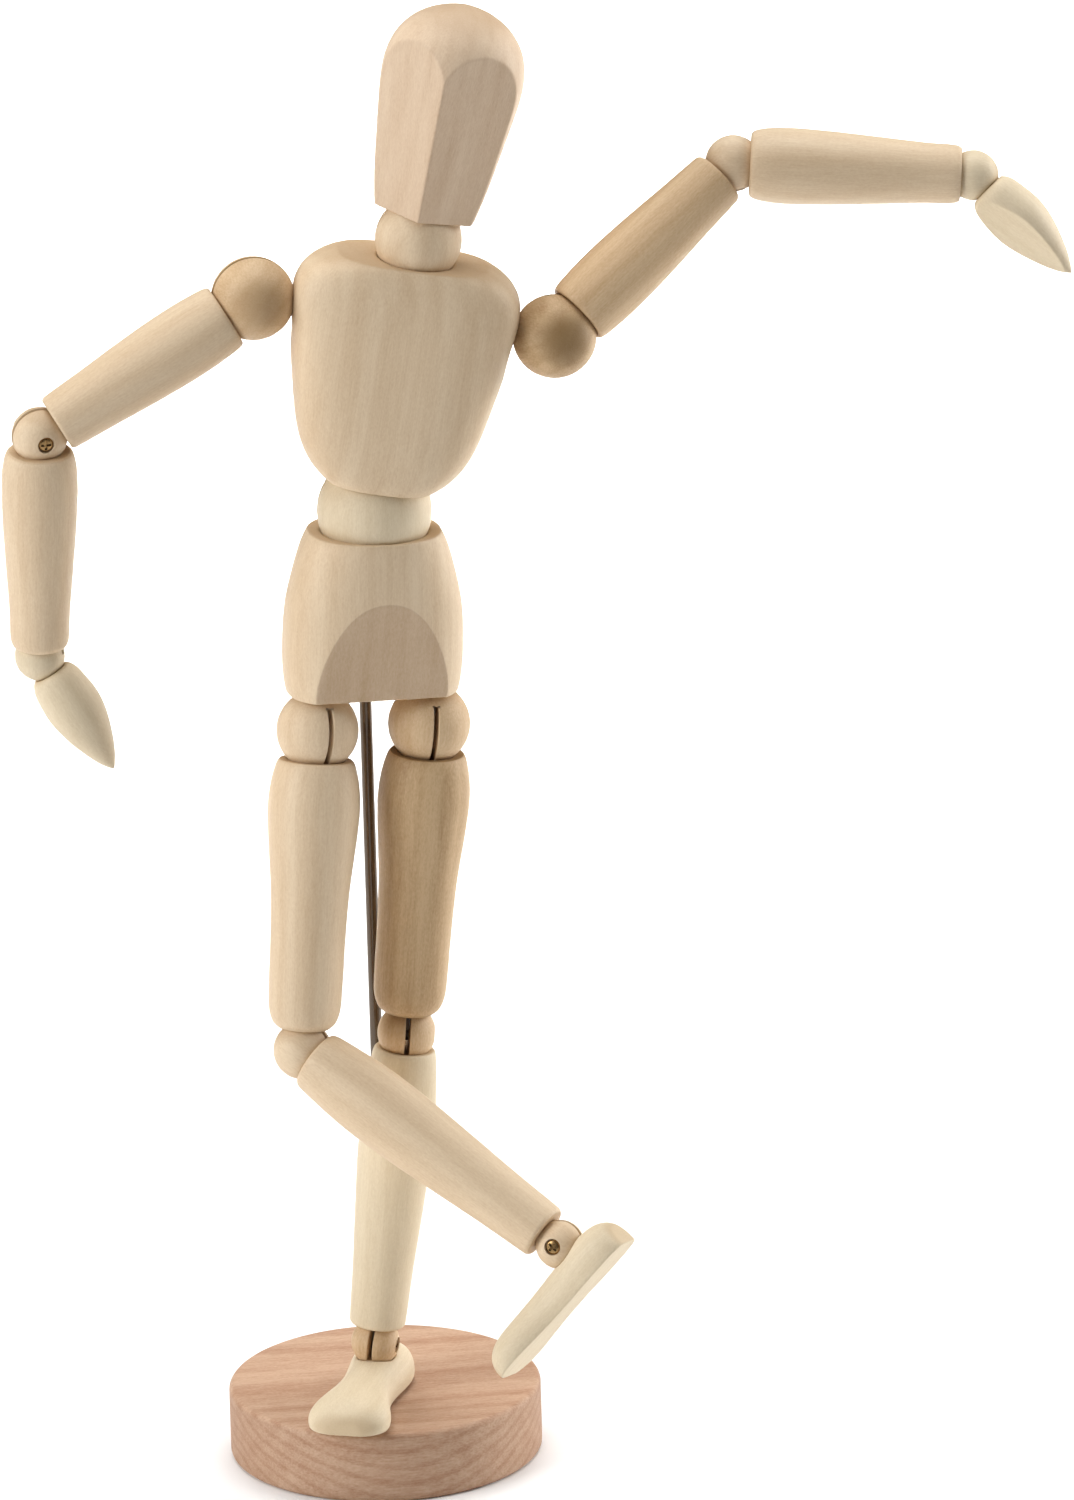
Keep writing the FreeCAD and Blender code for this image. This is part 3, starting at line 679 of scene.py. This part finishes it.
@dataclass
class Bench:
    """Hands finished pieces over to their bodies and keeps count of them."""

    made: int = 0

    def hand_over(self, piece: Object, node: str, material: Material) -> Object:
        """Dresses a piece and lets it stand for a CAD node.

        Args:
            piece: The finished piece.
            node: The CAD node that it replaces.
            material: Its finish.

        Returns:
            The piece.
        """
        take(piece)
        bpy.ops.object.shade_smooth_by_angle(angle=math.radians(SMOOTH_ANGLE))
        piece.data.materials.clear()
        piece.data.materials.append(material)
        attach(piece, frame["nodes"][node]["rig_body"])
        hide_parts(node)
        self.made += 1
        LOG.info("%s: %d faces", piece.name, len(piece.data.polygons))
        return piece

    def next_shift(self) -> float:
        """How far along the log the next piece is cut, in mm."""
        return 37.0 * (self.made + 1)

    def wood(self, piece: Object, node: str, tone: SandedWood, grain: Place,
             faces: Sequence[PlanedFace] = ()) -> Object:
        """Dresses a wooden piece, its grain along the Z of a frame, and hands it over."""
        material = tone.material(node, grain, self.next_shift(), faces)
        return self.hand_over(piece, node, material)

    def finish_node(self, node: str, material: Material) -> None:
        """Gives a CAD node whose shape is right a better finish."""
        mesh_object = frame["nodes"][node]
        mesh_object.data.materials.clear()
        mesh_object.data.materials.append(material)
        LOG.info("%s: kept, new finish", node)


# -------- joint pieces
@dataclass(frozen=True)
class Bore:
    """Hole for a steel link at one end of a turned piece, sizes in mm from the ball's centre."""

    reach: float
    shank: float
    bearing: float = 0.0
    mouth_radius: float = 1.7
    chamber_radius: float = 2.2
    tight_radius: float = 0.9      # a shank that is fixed
    turning_radius: float = 0.95   # a shank that turns in its bearing
    room: float = 0.2

    def outline(self) -> list[Point]:
        """(height, radius) points from the bottom of the hole out to its mouth."""
        end = self.reach + self.shank
        shank_radius = self.turning_radius if self.bearing else self.tight_radius
        top = self.reach + self.room
        if self.bearing:
            line = [(end + 3 * self.room, 0.0), (end + 3 * self.room, self.chamber_radius),
                    (self.reach + self.bearing, self.chamber_radius),
                    (self.reach + self.bearing, shank_radius)]
        else:
            line = [(end + self.room, 0.0), (end + self.room, shank_radius)]
        return line + [(top, shank_radius), (top, self.mouth_radius)]


@dataclass(frozen=True)
class TurnedLimb:
    """A limb turned from a stick, with a hollow at each end for its balls, sizes in mm."""

    pattern: Sequence[Point]
    length: float
    near_cup: float
    far_cup: float
    near_bore: Bore | None
    far_bore: Bore
    lip: float = 0.22
    cup_steps: int = 14
    slot: ClassVar[str] = "limb_wood"

    def cup(self, radius: float, rim: float, mouth: float) -> list[Point]:
        """Hollow about a ball centre, from its mouth bore to the rim, as (height, radius)."""
        start = math.asin(mouth / radius) if mouth else 0.0
        return arc(0.0, radius, start, math.acos(rim / radius), self.cup_steps)

    def build(self, name: str) -> Object:
        """Turns the limb on the lathe about its own Z."""
        rim = self.pattern[0][0]
        far_rim = self.length - self.pattern[-1][0]
        near = self.near_bore.outline() if self.near_bore else []
        near += self.cup(self.near_cup, rim, self.near_bore.mouth_radius if self.near_bore else 0)
        far = self.far_bore.outline() + self.cup(self.far_cup, far_rim, self.far_bore.mouth_radius)
        far = [(self.length - height, radius) for height, radius in reversed(far)]
        side = flowing(self.pattern)
        outline = near[:-1]
        outline += eased(near[-2], near[-1], side[0], self.lip)
        outline += eased(near[-1], side[0], side[1], self.lip)
        outline += side[1:-1]
        outline += eased(side[-2], side[-1], far[0], self.lip)
        outline += eased(side[-1], far[0], far[1], self.lip)
        outline += far[1:]
        return lathe(name, outline)


@dataclass(frozen=True)
class Ball:
    """A turned ball with a saw slot for a link, sizes in mm.

    The ball is made with its cross pin along Z and its slot open towards +X.
    """

    radius: float
    slot_depth: float
    screw_hole: bool = False
    slot_width: float = 1.0
    lip: float = 0.24
    hole_radius: float = 1.65
    hole_depth: float = 1.05
    hole_lip: float = 0.16
    clear: float = 0.85        # no ring of faces lies nearer to the ball's middle than this,
    waist: float = 0.12        # but for the pair that the saw takes away
    steps: int = 26            # from a pole to the saw cut
    cut_angle: float = 40.0    # degrees: the saw's edges are sharper than this
    slot: ClassVar[str] = "ball_wood"

    def build(self, name: str) -> Object:
        """Turns the ball, saws the slot and breaks its edges."""
        limit = math.acos(self.clear / self.radius)
        if self.screw_hole:
            rim_angle = math.asin(self.hole_radius / self.radius)
            floor = self.radius - self.hole_depth
            rim = (self.radius * math.cos(rim_angle), self.hole_radius)
            upper = arc(0, self.radius, rim_angle, limit, self.steps)
            top = [(floor, 0.0), (floor, self.hole_radius)]
            top += eased(top[-1], rim, upper[1], self.hole_lip) + upper[1:]
        else:
            top = arc(0, self.radius, 0, limit, self.steps)
        middle = arc(0, self.radius, math.acos(self.waist / self.radius),
                     math.acos(-self.waist / self.radius), 1)
        bottom = arc(0, self.radius, math.pi - limit, math.pi, self.steps)
        ball = lathe(name, top + middle + bottom)
        half = self.slot_width / 2
        saw = block("saw", (-self.slot_depth, -2 * self.radius, -half),
                    (2 * self.radius, 2 * self.radius, half))
        combine(ball, saw, "DIFFERENCE")
        skin = 0.985 * self.radius * MM
        cut = 1.02 * half * MM

        def at_mouth(a: Vector, b: Vector) -> bool:
            """True for an edge on the ball's skin along the saw cut."""
            return all(p.length > skin and abs(p.z) < cut for p in (a, b))

        soften_edges(ball, self.lip, self.cut_angle, at_mouth)
        return ball


@dataclass(frozen=True)
class Peg:
    """A ball's turned peg, sizes in mm from the ball's centre."""

    start: float
    end: float
    radius: float = 1.2
    edge: float = 0.3

    def join_to(self, ball: Object, place: Place) -> None:
        """Joins the peg, along the Z of a frame, to a ball that is already in its place."""
        outline = [(self.start, 0.0), (self.start, self.radius),
                   (self.end - self.edge, self.radius), (self.end, self.radius - self.edge),
                   (self.end, 0.0)]
        combine(ball, settle(lathe("peg", outline, SMALL_LATHE_STEPS), place), "UNION")


@dataclass
class CrossScrew:
    """Small pan-head screw with a cross recess, sizes in mm, its head towards +Z."""

    ball_radius: float
    head_radius: float = 1.5
    head_height: float = 0.7
    sink: float = 0.35
    shank_radius: float = 0.8
    arm_length: float = 2.1
    arm_width: float = 0.52
    recess_depth: float = 0.6
    flank: float = 0.28            # height of the head's straight side
    crown: float = 0.16            # height of the rounding from the side to the top
    crown_width: float = 0.32
    reach: float = 0.75            # the shank passes the middle by this share of the ball
    over: float = 0.3              # the punch starts this far above the head

    def build(self, name: str) -> Object:
        """Turns the screw and presses the cross into its head."""
        face = self.ball_radius - self.sink
        under = face - self.head_height
        tip = -self.reach * self.ball_radius
        crown = flowing([(under + self.flank, self.head_radius),
                         (face - self.crown, self.head_radius - self.crown_width),
                         (face - self.crown / 4, self.head_radius * 0.45), (face, 0.0)])
        outline = [(tip, 0.0), (tip, self.shank_radius), (under, self.shank_radius),
                   (under, self.head_radius)] + crown
        screw = lathe(name, outline, METAL_LATHE_STEPS)
        for size in ((self.arm_length, self.arm_width), (self.arm_width, self.arm_length)):
            punch = block("punch", (-size[0] / 2, -size[1] / 2, face - self.recess_depth),
                          (size[0] / 2, size[1] / 2, face + self.over))
            combine(screw, punch, "DIFFERENCE")
        return screw


# -------- sub-assemblies
@dataclass
class Stand:
    """Round base and the rod that carries the figure, sizes in mm."""

    radius: float = 31.5
    height: float = 14.5
    edge: float = 1.2
    rim_steps: int = 8
    rod_radius: float = 1.25
    rod_edge: float = 0.25
    rod_hole: Point = (3.5, 20.0)      # from and to, above the floor
    rod_hole_radius: float = 1.42
    grain: Vector = field(default_factory=lambda: heading(7.0, 0.0))

    def build(self, bench: Bench) -> None:
        """Makes the base and the rod."""
        outline = [(0.0, 0.0)] + self.rounded_side() + [(self.height, 0.0)]
        base = lathe("turned_base", outline, BASE_LATHE_STEPS)
        rod_low, rod_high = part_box("support_rod")
        middle = (rod_low + rod_high) / 2 / MM
        floor, top = self.rod_hole
        hole = lathe("drill", [(floor, 0.0), (floor, self.rod_hole_radius),
                               (top, self.rod_hole_radius), (top, 0.0)], SMALL_LATHE_STEPS)
        hole = settle(hole, Place(Vector((middle.x, middle.y, 0)) * MM, Vector((0, 0, 1)),
                                  Vector((1, 0, 0))))
        combine(base, hole, "DIFFERENCE")
        grain = Place(Vector((0, 0, self.height / 2 * MM)), self.grain, Vector((0, 0, 1)))
        bench.wood(base, "base_disc", BASE_BEECH, grain)
        self.build_rod(bench, Vector((middle.x, middle.y, 0)) * MM,
                       rod_low.z / MM, rod_high.z / MM)

    def rounded_side(self) -> list[Point]:
        """Outline of the base's side with both rims rounded over."""
        side = []
        for centre, start in ((self.edge, math.pi), (self.height - self.edge, math.pi / 2)):
            for step in range(self.rim_steps + 1):
                angle = start - math.pi / 2 * step / self.rim_steps
                side.append((centre + self.edge * math.cos(angle),
                             self.radius - self.edge + self.edge * math.sin(angle)))
        return side

    def build_rod(self, bench: Bench, foot: Vector, low: float, high: float) -> None:
        """Makes the rod, with broken edges at both ends.

        Args:
            bench: Takes the finished rod.
            foot: Point on the floor below the rod, in metres.
            low: Height of its lower end, in mm.
            high: Height of its upper end.
        """
        edge = self.rod_edge
        outline = [(low, 0.0), (low, self.rod_radius - edge), (low + edge, self.rod_radius)]
        outline += [(high - edge, self.rod_radius), (high, self.rod_radius - edge), (high, 0.0)]
        place = Place(foot, Vector((0, 0, 1)), Vector((1, 0, 0)))
        rod = settle(lathe("drawn_rod", outline, METAL_LATHE_STEPS), place)
        bench.hand_over(rod, "support_rod", ROD_STEEL.material("rod", place))


@dataclass
class Torso:
    """Pelvis, waist ball, chest, neck ball and head, sizes in mm."""

    pelvis_face_at: Sequence[float] = (0.37, -8.35, -37.17)     # from the waist ball's centre
    pelvis_face_way: Point = (-76.8, -11.3)                     # turn and rise, in degrees
    chin: Sequence[float] = (0.0, -8.8, 5.3)                    # in the head's own frame
    cheek_turn: float = 35.0                                    # each way from straight ahead
    cheek_slope: float = 0.142
    waist_ball: Ball = Ball(11.4, 3.0)
    neck_ball: Ball = Ball(8.6, 3.0)
    grit: float = 0.32
    passes: int = 4
    head_grit: float = 0.256
    head_passes: int = 3
    # cheek tint and its soft fade: partly duller planed wood, partly painted shade on the head's
    # facets
    cheek_dark: float = 0.15
    cheek_sharp: Point = (0.05, 0.5)
    head_turn: float = -8.0

    def build(self, bench: Bench) -> None:
        """Makes the torso's pieces."""
        side = axis_of("waist_tilt")
        back = Vector((-side.y, side.x, 0)).normalized()
        pelvis_place = Place(centre_of("waist_tilt"), side.cross(back), side)
        spine = axis_of("chest_turn")
        chest_place = Place(centre_of("chest_turn"), spine, -axis_of("neck_tilt"))
        head_place = Place(centre_of("head_turn"), axis_of("head_turn"),
                           heading(self.head_turn, 0.0))
        pelvis = sanded_copy("pelvis", "planed_pelvis", self.grit, self.passes)
        # the pelvis's planed front face is tinted partly as duller planed wood, partly with
        # painted shade
        front = PlanedFace(pelvis_place.origin + Vector(self.pelvis_face_at) * MM,
                           heading(*self.pelvis_face_way))
        bench.wood(pelvis, "pelvis", Tone.CREAM.value, pelvis_place, [front])
        chest = sanded_copy("chest", "shaped_chest", self.grit, self.passes)
        bench.wood(chest, "chest", Tone.CREAM.value, chest_place)
        head = sanded_copy("head", "planed_head", self.head_grit, self.head_passes)
        bench.wood(head, "head", Tone.ROSY.value, head_place,
                   self.cheeks(head_place))
        waist = settle(self.waist_ball.build("turned_waist_ball"),
                       Place(centre_of("waist_lean"), axis_of("waist_lean"), spine))
        bench.wood(waist, "waist_ball", Tone.PALE.value, pelvis_place)
        neck = settle(self.neck_ball.build("turned_neck_ball"),
                      Place(centre_of("neck_lean"), axis_of("neck_lean"), head_place.along))
        bench.wood(neck, "neck_ball", Tone.CREAM.value, chest_place)
        for node in ("waist_link", "neck_link"):
            bench.finish_node(node, LINK_STEEL.material(node, chest_place))
        for node in ("hip_springs", "spine_spring", "shoulder_spring"):
            bench.finish_node(node, SPRING_STEEL.material(node, chest_place))

    def cheeks(self, head: Place) -> list[PlanedFace]:
        """The two planed faces of the head, which meet in a ridge, tinted partly as duller wood
        and partly with painted shade.

        Args:
            head: The head's own frame.

        Returns:
            The faces, right cheek first.
        """
        turn = math.radians(self.cheek_turn)
        chin = head.matrix @ (Vector(self.chin) * MM)
        ways = (Vector((side * math.sin(turn), -math.cos(turn), -self.cheek_slope))
                for side in (-1, 1))
        return [PlanedFace(chin, head.matrix.to_3x3() @ way, self.cheek_dark, self.cheek_sharp)
                for way in ways]


@dataclass
class Limb:
    """What an arm and a leg share: the side that they are on and how their pieces are made."""

    side: str

    def node(self, name: str) -> str:
        """The CAD node's or joint's full name."""
        return f"{self.side}_{name}"

    def centre(self, joint: str) -> Vector:
        """Centre of one of the limb's joints, in metres."""
        return centre_of(self.node(joint))

    def axis(self, joint: str) -> Vector:
        """Direction of the axis of one of the limb's joints."""
        return axis_of(self.node(joint))

    def turn(self, bench: Bench, name: str, kind: Ball | TurnedLimb, place: Place,
             tone: SandedWood, grain: Place, peg: tuple[Peg, Place] | None = None) -> None:
        """Makes a turned piece.

        Args:
            bench: Takes the finished piece.
            name: The piece's name without its side.
            kind: The piece's sizes.
            place: Where it goes.
            tone: Its wood.
            grain: Frame whose Z the grain follows.
            peg: A ball's peg and the frame whose Z it follows.
        """
        piece = settle(kind.build("turned_" + self.node(name)), place)
        if peg is not None:
            peg[0].join_to(piece, peg[1])
        bench.wood(piece, self.node(name), tone, grain)

    def hinge(self, bench: Bench, joint: str, kind: Ball, pin: Place, tone: SandedWood,
              grain: Place, peg: tuple[Peg, Place] | None = None) -> None:
        """Makes a slotted ball and the screw across it.

        Args:
            bench: Takes the finished pieces.
            joint: The joint's name without its side.
            kind: The ball's sizes.
            pin: Frame with the pin along Z and the slot open towards +X.
            tone: The ball's wood.
            grain: Frame whose Z the grain follows.
            peg: The ball's peg and the frame whose Z it follows.
        """
        node = self.node(joint + "_screw")
        pin = Place(pin.origin, facing(node, pin.origin, pin.along), pin.across)
        self.turn(bench, joint + "_ball", kind, pin, tone, grain, peg)
        screw = CrossScrew(kind.radius).build(self.node(joint) + "_cross_screw")
        bench.hand_over(settle(screw, pin), node, SCREW_STEEL.material(node, pin))

    def carve(self, bench: Bench, name: str, grit_mm: float, place: Place) -> None:
        """Makes a hand or a foot: turned, planed flat on one side, its arrises sanded."""
        node = self.node(name)
        bench.wood(sanded_copy(node, "carved_" + node, grit_mm, CARVED_PASSES), node,
                   Tone.PALE.value, place)

    def finish_inside(self, bench: Bench, links: Iterable[str], spring: str,
                      place: Place) -> None:
        """Gives the links and the spring inside the limb their finish."""
        for name in links:
            bench.finish_node(self.node(name), LINK_STEEL.material(self.node(name), place))
        bench.finish_node(self.node(spring), SPRING_STEEL.material(self.node(spring), place))


@dataclass
class Arm(Limb):
    """Shoulder ball to hand, sizes in mm."""

    palm: Vector                   # the way the palm faces
    shoulder_tone: SandedWood
    upper_tone: SandedWood
    fore_tone: SandedWood
    shoulder_ball: Ball = Ball(8.3, 3.0)
    elbow_ball: Ball = Ball(5.6, 2.6, True)
    wrist_ball: Ball = Ball(5.0, 1.9)
    upper: TurnedLimb = TurnedLimb(
        ((6.3, 6.3), (6.8, 6.7), (11.0, 7.2), (18.0, 7.35), (27.0, 7.0),
         (36.0, 6.4), (44.0, 5.95), (45.3, 5.8), (45.8, 5.45)),
        49.8, 8.45, 5.75, Bore(9.5, 14.0, 3.0), Bore(6.8, 6.0))
    fore: TurnedLimb = TurnedLimb(
        ((3.3, 6.0), (3.8, 6.6), (6.5, 7.3), (10.5, 7.55), (18.0, 7.35),
         (28.0, 6.7), (38.0, 6.0), (44.0, 5.75), (45.0, 5.3)),
        47.5, 5.62, 5.15, None, Bore(6.0, 6.0))
    peg: Peg = Peg(4.0, 8.0)
    grit: float = 0.22

    def build(self, bench: Bench) -> None:
        """Makes the arm's pieces."""
        shoulder, elbow, wrist = map(self.centre, ("arm_turn", "elbow_bend", "hand_turn"))
        upper_way, hand_way = map(self.axis, ("arm_turn", "hand_turn"))
        shoulder_pin, elbow_pin = map(self.axis, ("shoulder_raise", "elbow_bend"))
        fore_way = (wrist - elbow).normalized()
        shoulder_place = Place(shoulder, shoulder_pin, self.axis("shoulder_swing"))
        upper_place = Place(shoulder, upper_way, shoulder_pin)
        fore_place = Place(elbow, fore_way, elbow_pin)
        hand_place = Place(wrist, hand_way, self.palm.cross(hand_way))

        self.turn(bench, "shoulder_ball", self.shoulder_ball, shoulder_place,
                  self.shoulder_tone, shoulder_place)
        self.turn(bench, "upper_arm", self.upper, upper_place, self.upper_tone, upper_place)
        self.hinge(bench, "elbow", self.elbow_ball, Place(elbow, elbow_pin, -fore_way),
                   self.fore_tone, fore_place)
        self.turn(bench, "forearm", self.fore, fore_place, self.fore_tone, fore_place)
        self.turn(bench, "wrist_ball", self.wrist_ball,
                  Place(wrist, self.axis("wrist_bend"), -hand_way), Tone.PALE.value, fore_place,
                  (self.peg, hand_place))
        self.carve(bench, "hand", self.grit, hand_place)
        self.finish_inside(bench, ("shoulder_link", "elbow_link", "wrist_link"), "arm_spring",
                           upper_place)


@dataclass
class Leg(Limb):
    """Hip ball to foot, sizes in mm."""

    toe: Vector                    # the way the toes point
    hip_tone: SandedWood
    thigh_tone: SandedWood
    knee_tone: SandedWood
    shin_tone: SandedWood
    hip_ball: Ball = Ball(8.2, 5.2)
    knee_ball: Ball = Ball(5.85, 4.0, True)
    ankle_ball: Ball = Ball(4.9, 2.6, True)
    thigh: TurnedLimb = TurnedLimb(
        ((5.9, 7.3), (6.4, 7.7), (10.0, 8.7), (15.0, 9.2), (21.0, 8.9), (32.0, 7.9),
         (42.0, 7.5), (52.0, 7.35), (56.5, 7.1), (59.0, 6.2), (60.1, 5.0)),
        64.6, 8.35, 6.0, Bore(9.4, 14.0, 3.0), Bore(7.05, 6.0))
    shin: TurnedLimb = TurnedLimb(
        ((3.2, 5.8), (3.7, 6.2), (9.0, 6.9), (17.0, 7.45), (26.0, 7.4), (38.0, 6.8),
         (50.0, 6.1), (60.0, 5.7), (61.2, 5.6), (61.7, 5.2)),
        65.6, 5.87, 5.05, None, Bore(5.9, 6.0))
    peg: Peg = Peg(3.92, 7.9)
    grit: float = 0.24

    def build(self, bench: Bench) -> None:
        """Makes the leg's pieces."""
        hip, knee, ankle = map(self.centre, ("leg_turn", "knee_bend", "foot_turn"))
        thigh_way, rise = map(self.axis, ("leg_turn", "foot_turn"))
        hip_pin, knee_pin = map(self.axis, ("hip_swing", "knee_bend"))
        shin_way = (ankle - knee).normalized()
        thigh_place = Place(hip, thigh_way, hip_pin)
        shin_place = Place(knee, shin_way, knee_pin)

        self.turn(bench, "hip_ball", self.hip_ball, Place(hip, hip_pin, thigh_way),
                  self.hip_tone, thigh_place)
        self.turn(bench, "thigh", self.thigh, thigh_place, self.thigh_tone, thigh_place)
        self.hinge(bench, "knee", self.knee_ball, Place(knee, knee_pin, -shin_way),
                   self.knee_tone, shin_place)
        self.turn(bench, "shin", self.shin, shin_place, self.shin_tone, shin_place)
        self.hinge(bench, "ankle", self.ankle_ball, Place(ankle, self.axis("ankle_bend"), rise),
                   self.knee_tone, shin_place, (self.peg, Place(ankle, -rise, self.toe)))
        self.carve(bench, "foot", self.grit, Place(ankle, self.toe, rise))
        self.finish_inside(bench, ("hip_link", "knee_link", "ankle_link"), "thigh_spring",
                           thigh_place)


# -------- studio
@dataclass
class Softbox:
    """A square soft light that the camera doesn't see, sizes in metres and degrees."""

    name: str
    at: tuple[float, float, float]
    size: float
    watts: float
    aim_at: tuple[float, float, float] = (0.0, 0.0, 0.15)
    spread: float = 180.0

    def build(self) -> None:
        """Hangs the light and turns it to the figure."""
        data = bpy.data.lights.new(self.name, "AREA")
        data.shape = "SQUARE"
        data.size = self.size
        data.energy = self.watts
        data.spread = math.radians(self.spread)
        lamp = bpy.data.objects.new(self.name, data)
        lamp.location = self.at
        aim = Vector(self.aim_at) - lamp.location
        lamp.rotation_euler = aim.to_track_quat("-Z", "Y").to_euler()
        lamp.visible_camera = False
        bpy.context.scene.collection.objects.link(lamp)


@dataclass
class Studio:
    """White floor, soft lights and the camera."""

    floor_size: float = 14.0
    paper: str = "F7F7F7"
    tooth_scale: float = 900.0     # features to the metre
    surround: float = 0.06
    lights: Iterable[Softbox] = (
        Softbox("key_left", (-1.6, -0.72, 0.95), 1.2, 27.0),
        Softbox("rim_right", (1.5, 0.5, 0.6), 1.1, 23.0),
        Softbox("top", (0.0, 0.1, 1.7), 1.5, 14.0),
        Softbox("sweep_wash", (0.0, 1.0, 1.2), 1.4, 16.0, (0.0, 1.0, 0.0), 70.0),
    )
    camera_at_mm: tuple[float, float, float] = (34.3, -2602.2, 1018.8)
    pitch: float = 18.51           # degrees down from level
    roll: float = 1.59
    lens: float = 330.77           # mm, on the default sensor

    def build(self) -> None:
        """Makes the floor, the lights and the camera."""
        clear_selection()
        bpy.ops.mesh.primitive_plane_add(size=self.floor_size, location=(0, 0, 0))
        floor = bpy.context.object
        floor.name = "floor"
        floor.data.materials.append(self.floor_finish())
        world = bpy.data.worlds.new("studio")
        bpy.context.scene.world = world
        world.use_nodes = True
        background = world.node_tree.nodes["Background"]
        background.inputs["Color"].default_value = (1.0, 1.0, 1.0, 1.0)
        background.inputs["Strength"].default_value = self.surround
        for light in self.lights:
            light.build()
        bpy.context.scene.view_settings.view_transform = "Standard"
        self.build_camera()

    def floor_finish(self) -> Material:
        """White cartridge paper, matt, with a trace of tooth."""
        material, tree, shader = new_material("white_paper")
        add = partial(add_node, tree)
        where = add("TexCoord")
        tooth = add("TexNoise", {"Scale": self.tooth_scale, "Detail": 2.0},
                    {"Vector": where.outputs["Object"]})
        bump = add("Bump", {"Strength": 0.05, "Distance": 0.05 * MM},
                   {"Height": tooth.outputs["Fac"]})
        tree.links.new(bump.outputs[0], shader.inputs["Normal"])
        shader.inputs["Base Color"].default_value = linear(self.paper)
        shader.inputs["Roughness"].default_value = 0.9
        return material

    def build_camera(self) -> None:
        """Sets the camera up at the viewing angle."""
        pitch, roll = math.radians(self.pitch), math.radians(self.roll)
        ahead = Vector((0, math.cos(pitch), -math.sin(pitch)))
        level_up = Vector((0, math.sin(pitch), math.cos(pitch)))
        right = Vector((math.cos(roll), 0, 0)) - level_up * math.sin(roll)
        upward = level_up * math.cos(roll) + Vector((math.sin(roll), 0, 0))
        turn = Matrix((right, upward, -ahead)).transposed().to_4x4()
        data = bpy.data.cameras.new("camera")
        data.lens = self.lens
        camera = bpy.data.objects.new("camera", data)
        camera.matrix_world = Matrix.Translation(Vector(self.camera_at_mm) * MM) @ turn
        bpy.context.scene.collection.objects.link(camera)
        bpy.context.scene.camera = camera


def main() -> None:
    """Builds the mannequin and its studio."""
    logging.basicConfig(level=logging.INFO, format="%(message)s")
    bench = Bench()
    Stand().build(bench)
    Torso().build(bench)
    Arm("right", heading(150, -20), Tone.HONEY.value, Tone.CREAM.value,
        Tone.CREAM.value).build(bench)
    Arm("left", heading(-105, -35), Tone.TAN.value, Tone.HONEY.value,
        Tone.CREAM.value).build(bench)
    Leg("right", heading(174.6, -49.4), Tone.CREAM.value, Tone.CREAM.value, Tone.CREAM.value,
        Tone.CREAM.value).build(bench)
    Leg("left", heading(-104.4, 0), Tone.HONEY.value, Tone.TAN.value, Tone.HONEY.value,
        Tone.PALE.value).build(bench)
    Studio().build()
    LOG.info("%d pieces made", bench.made)


if __name__ == "__main__":
    main()
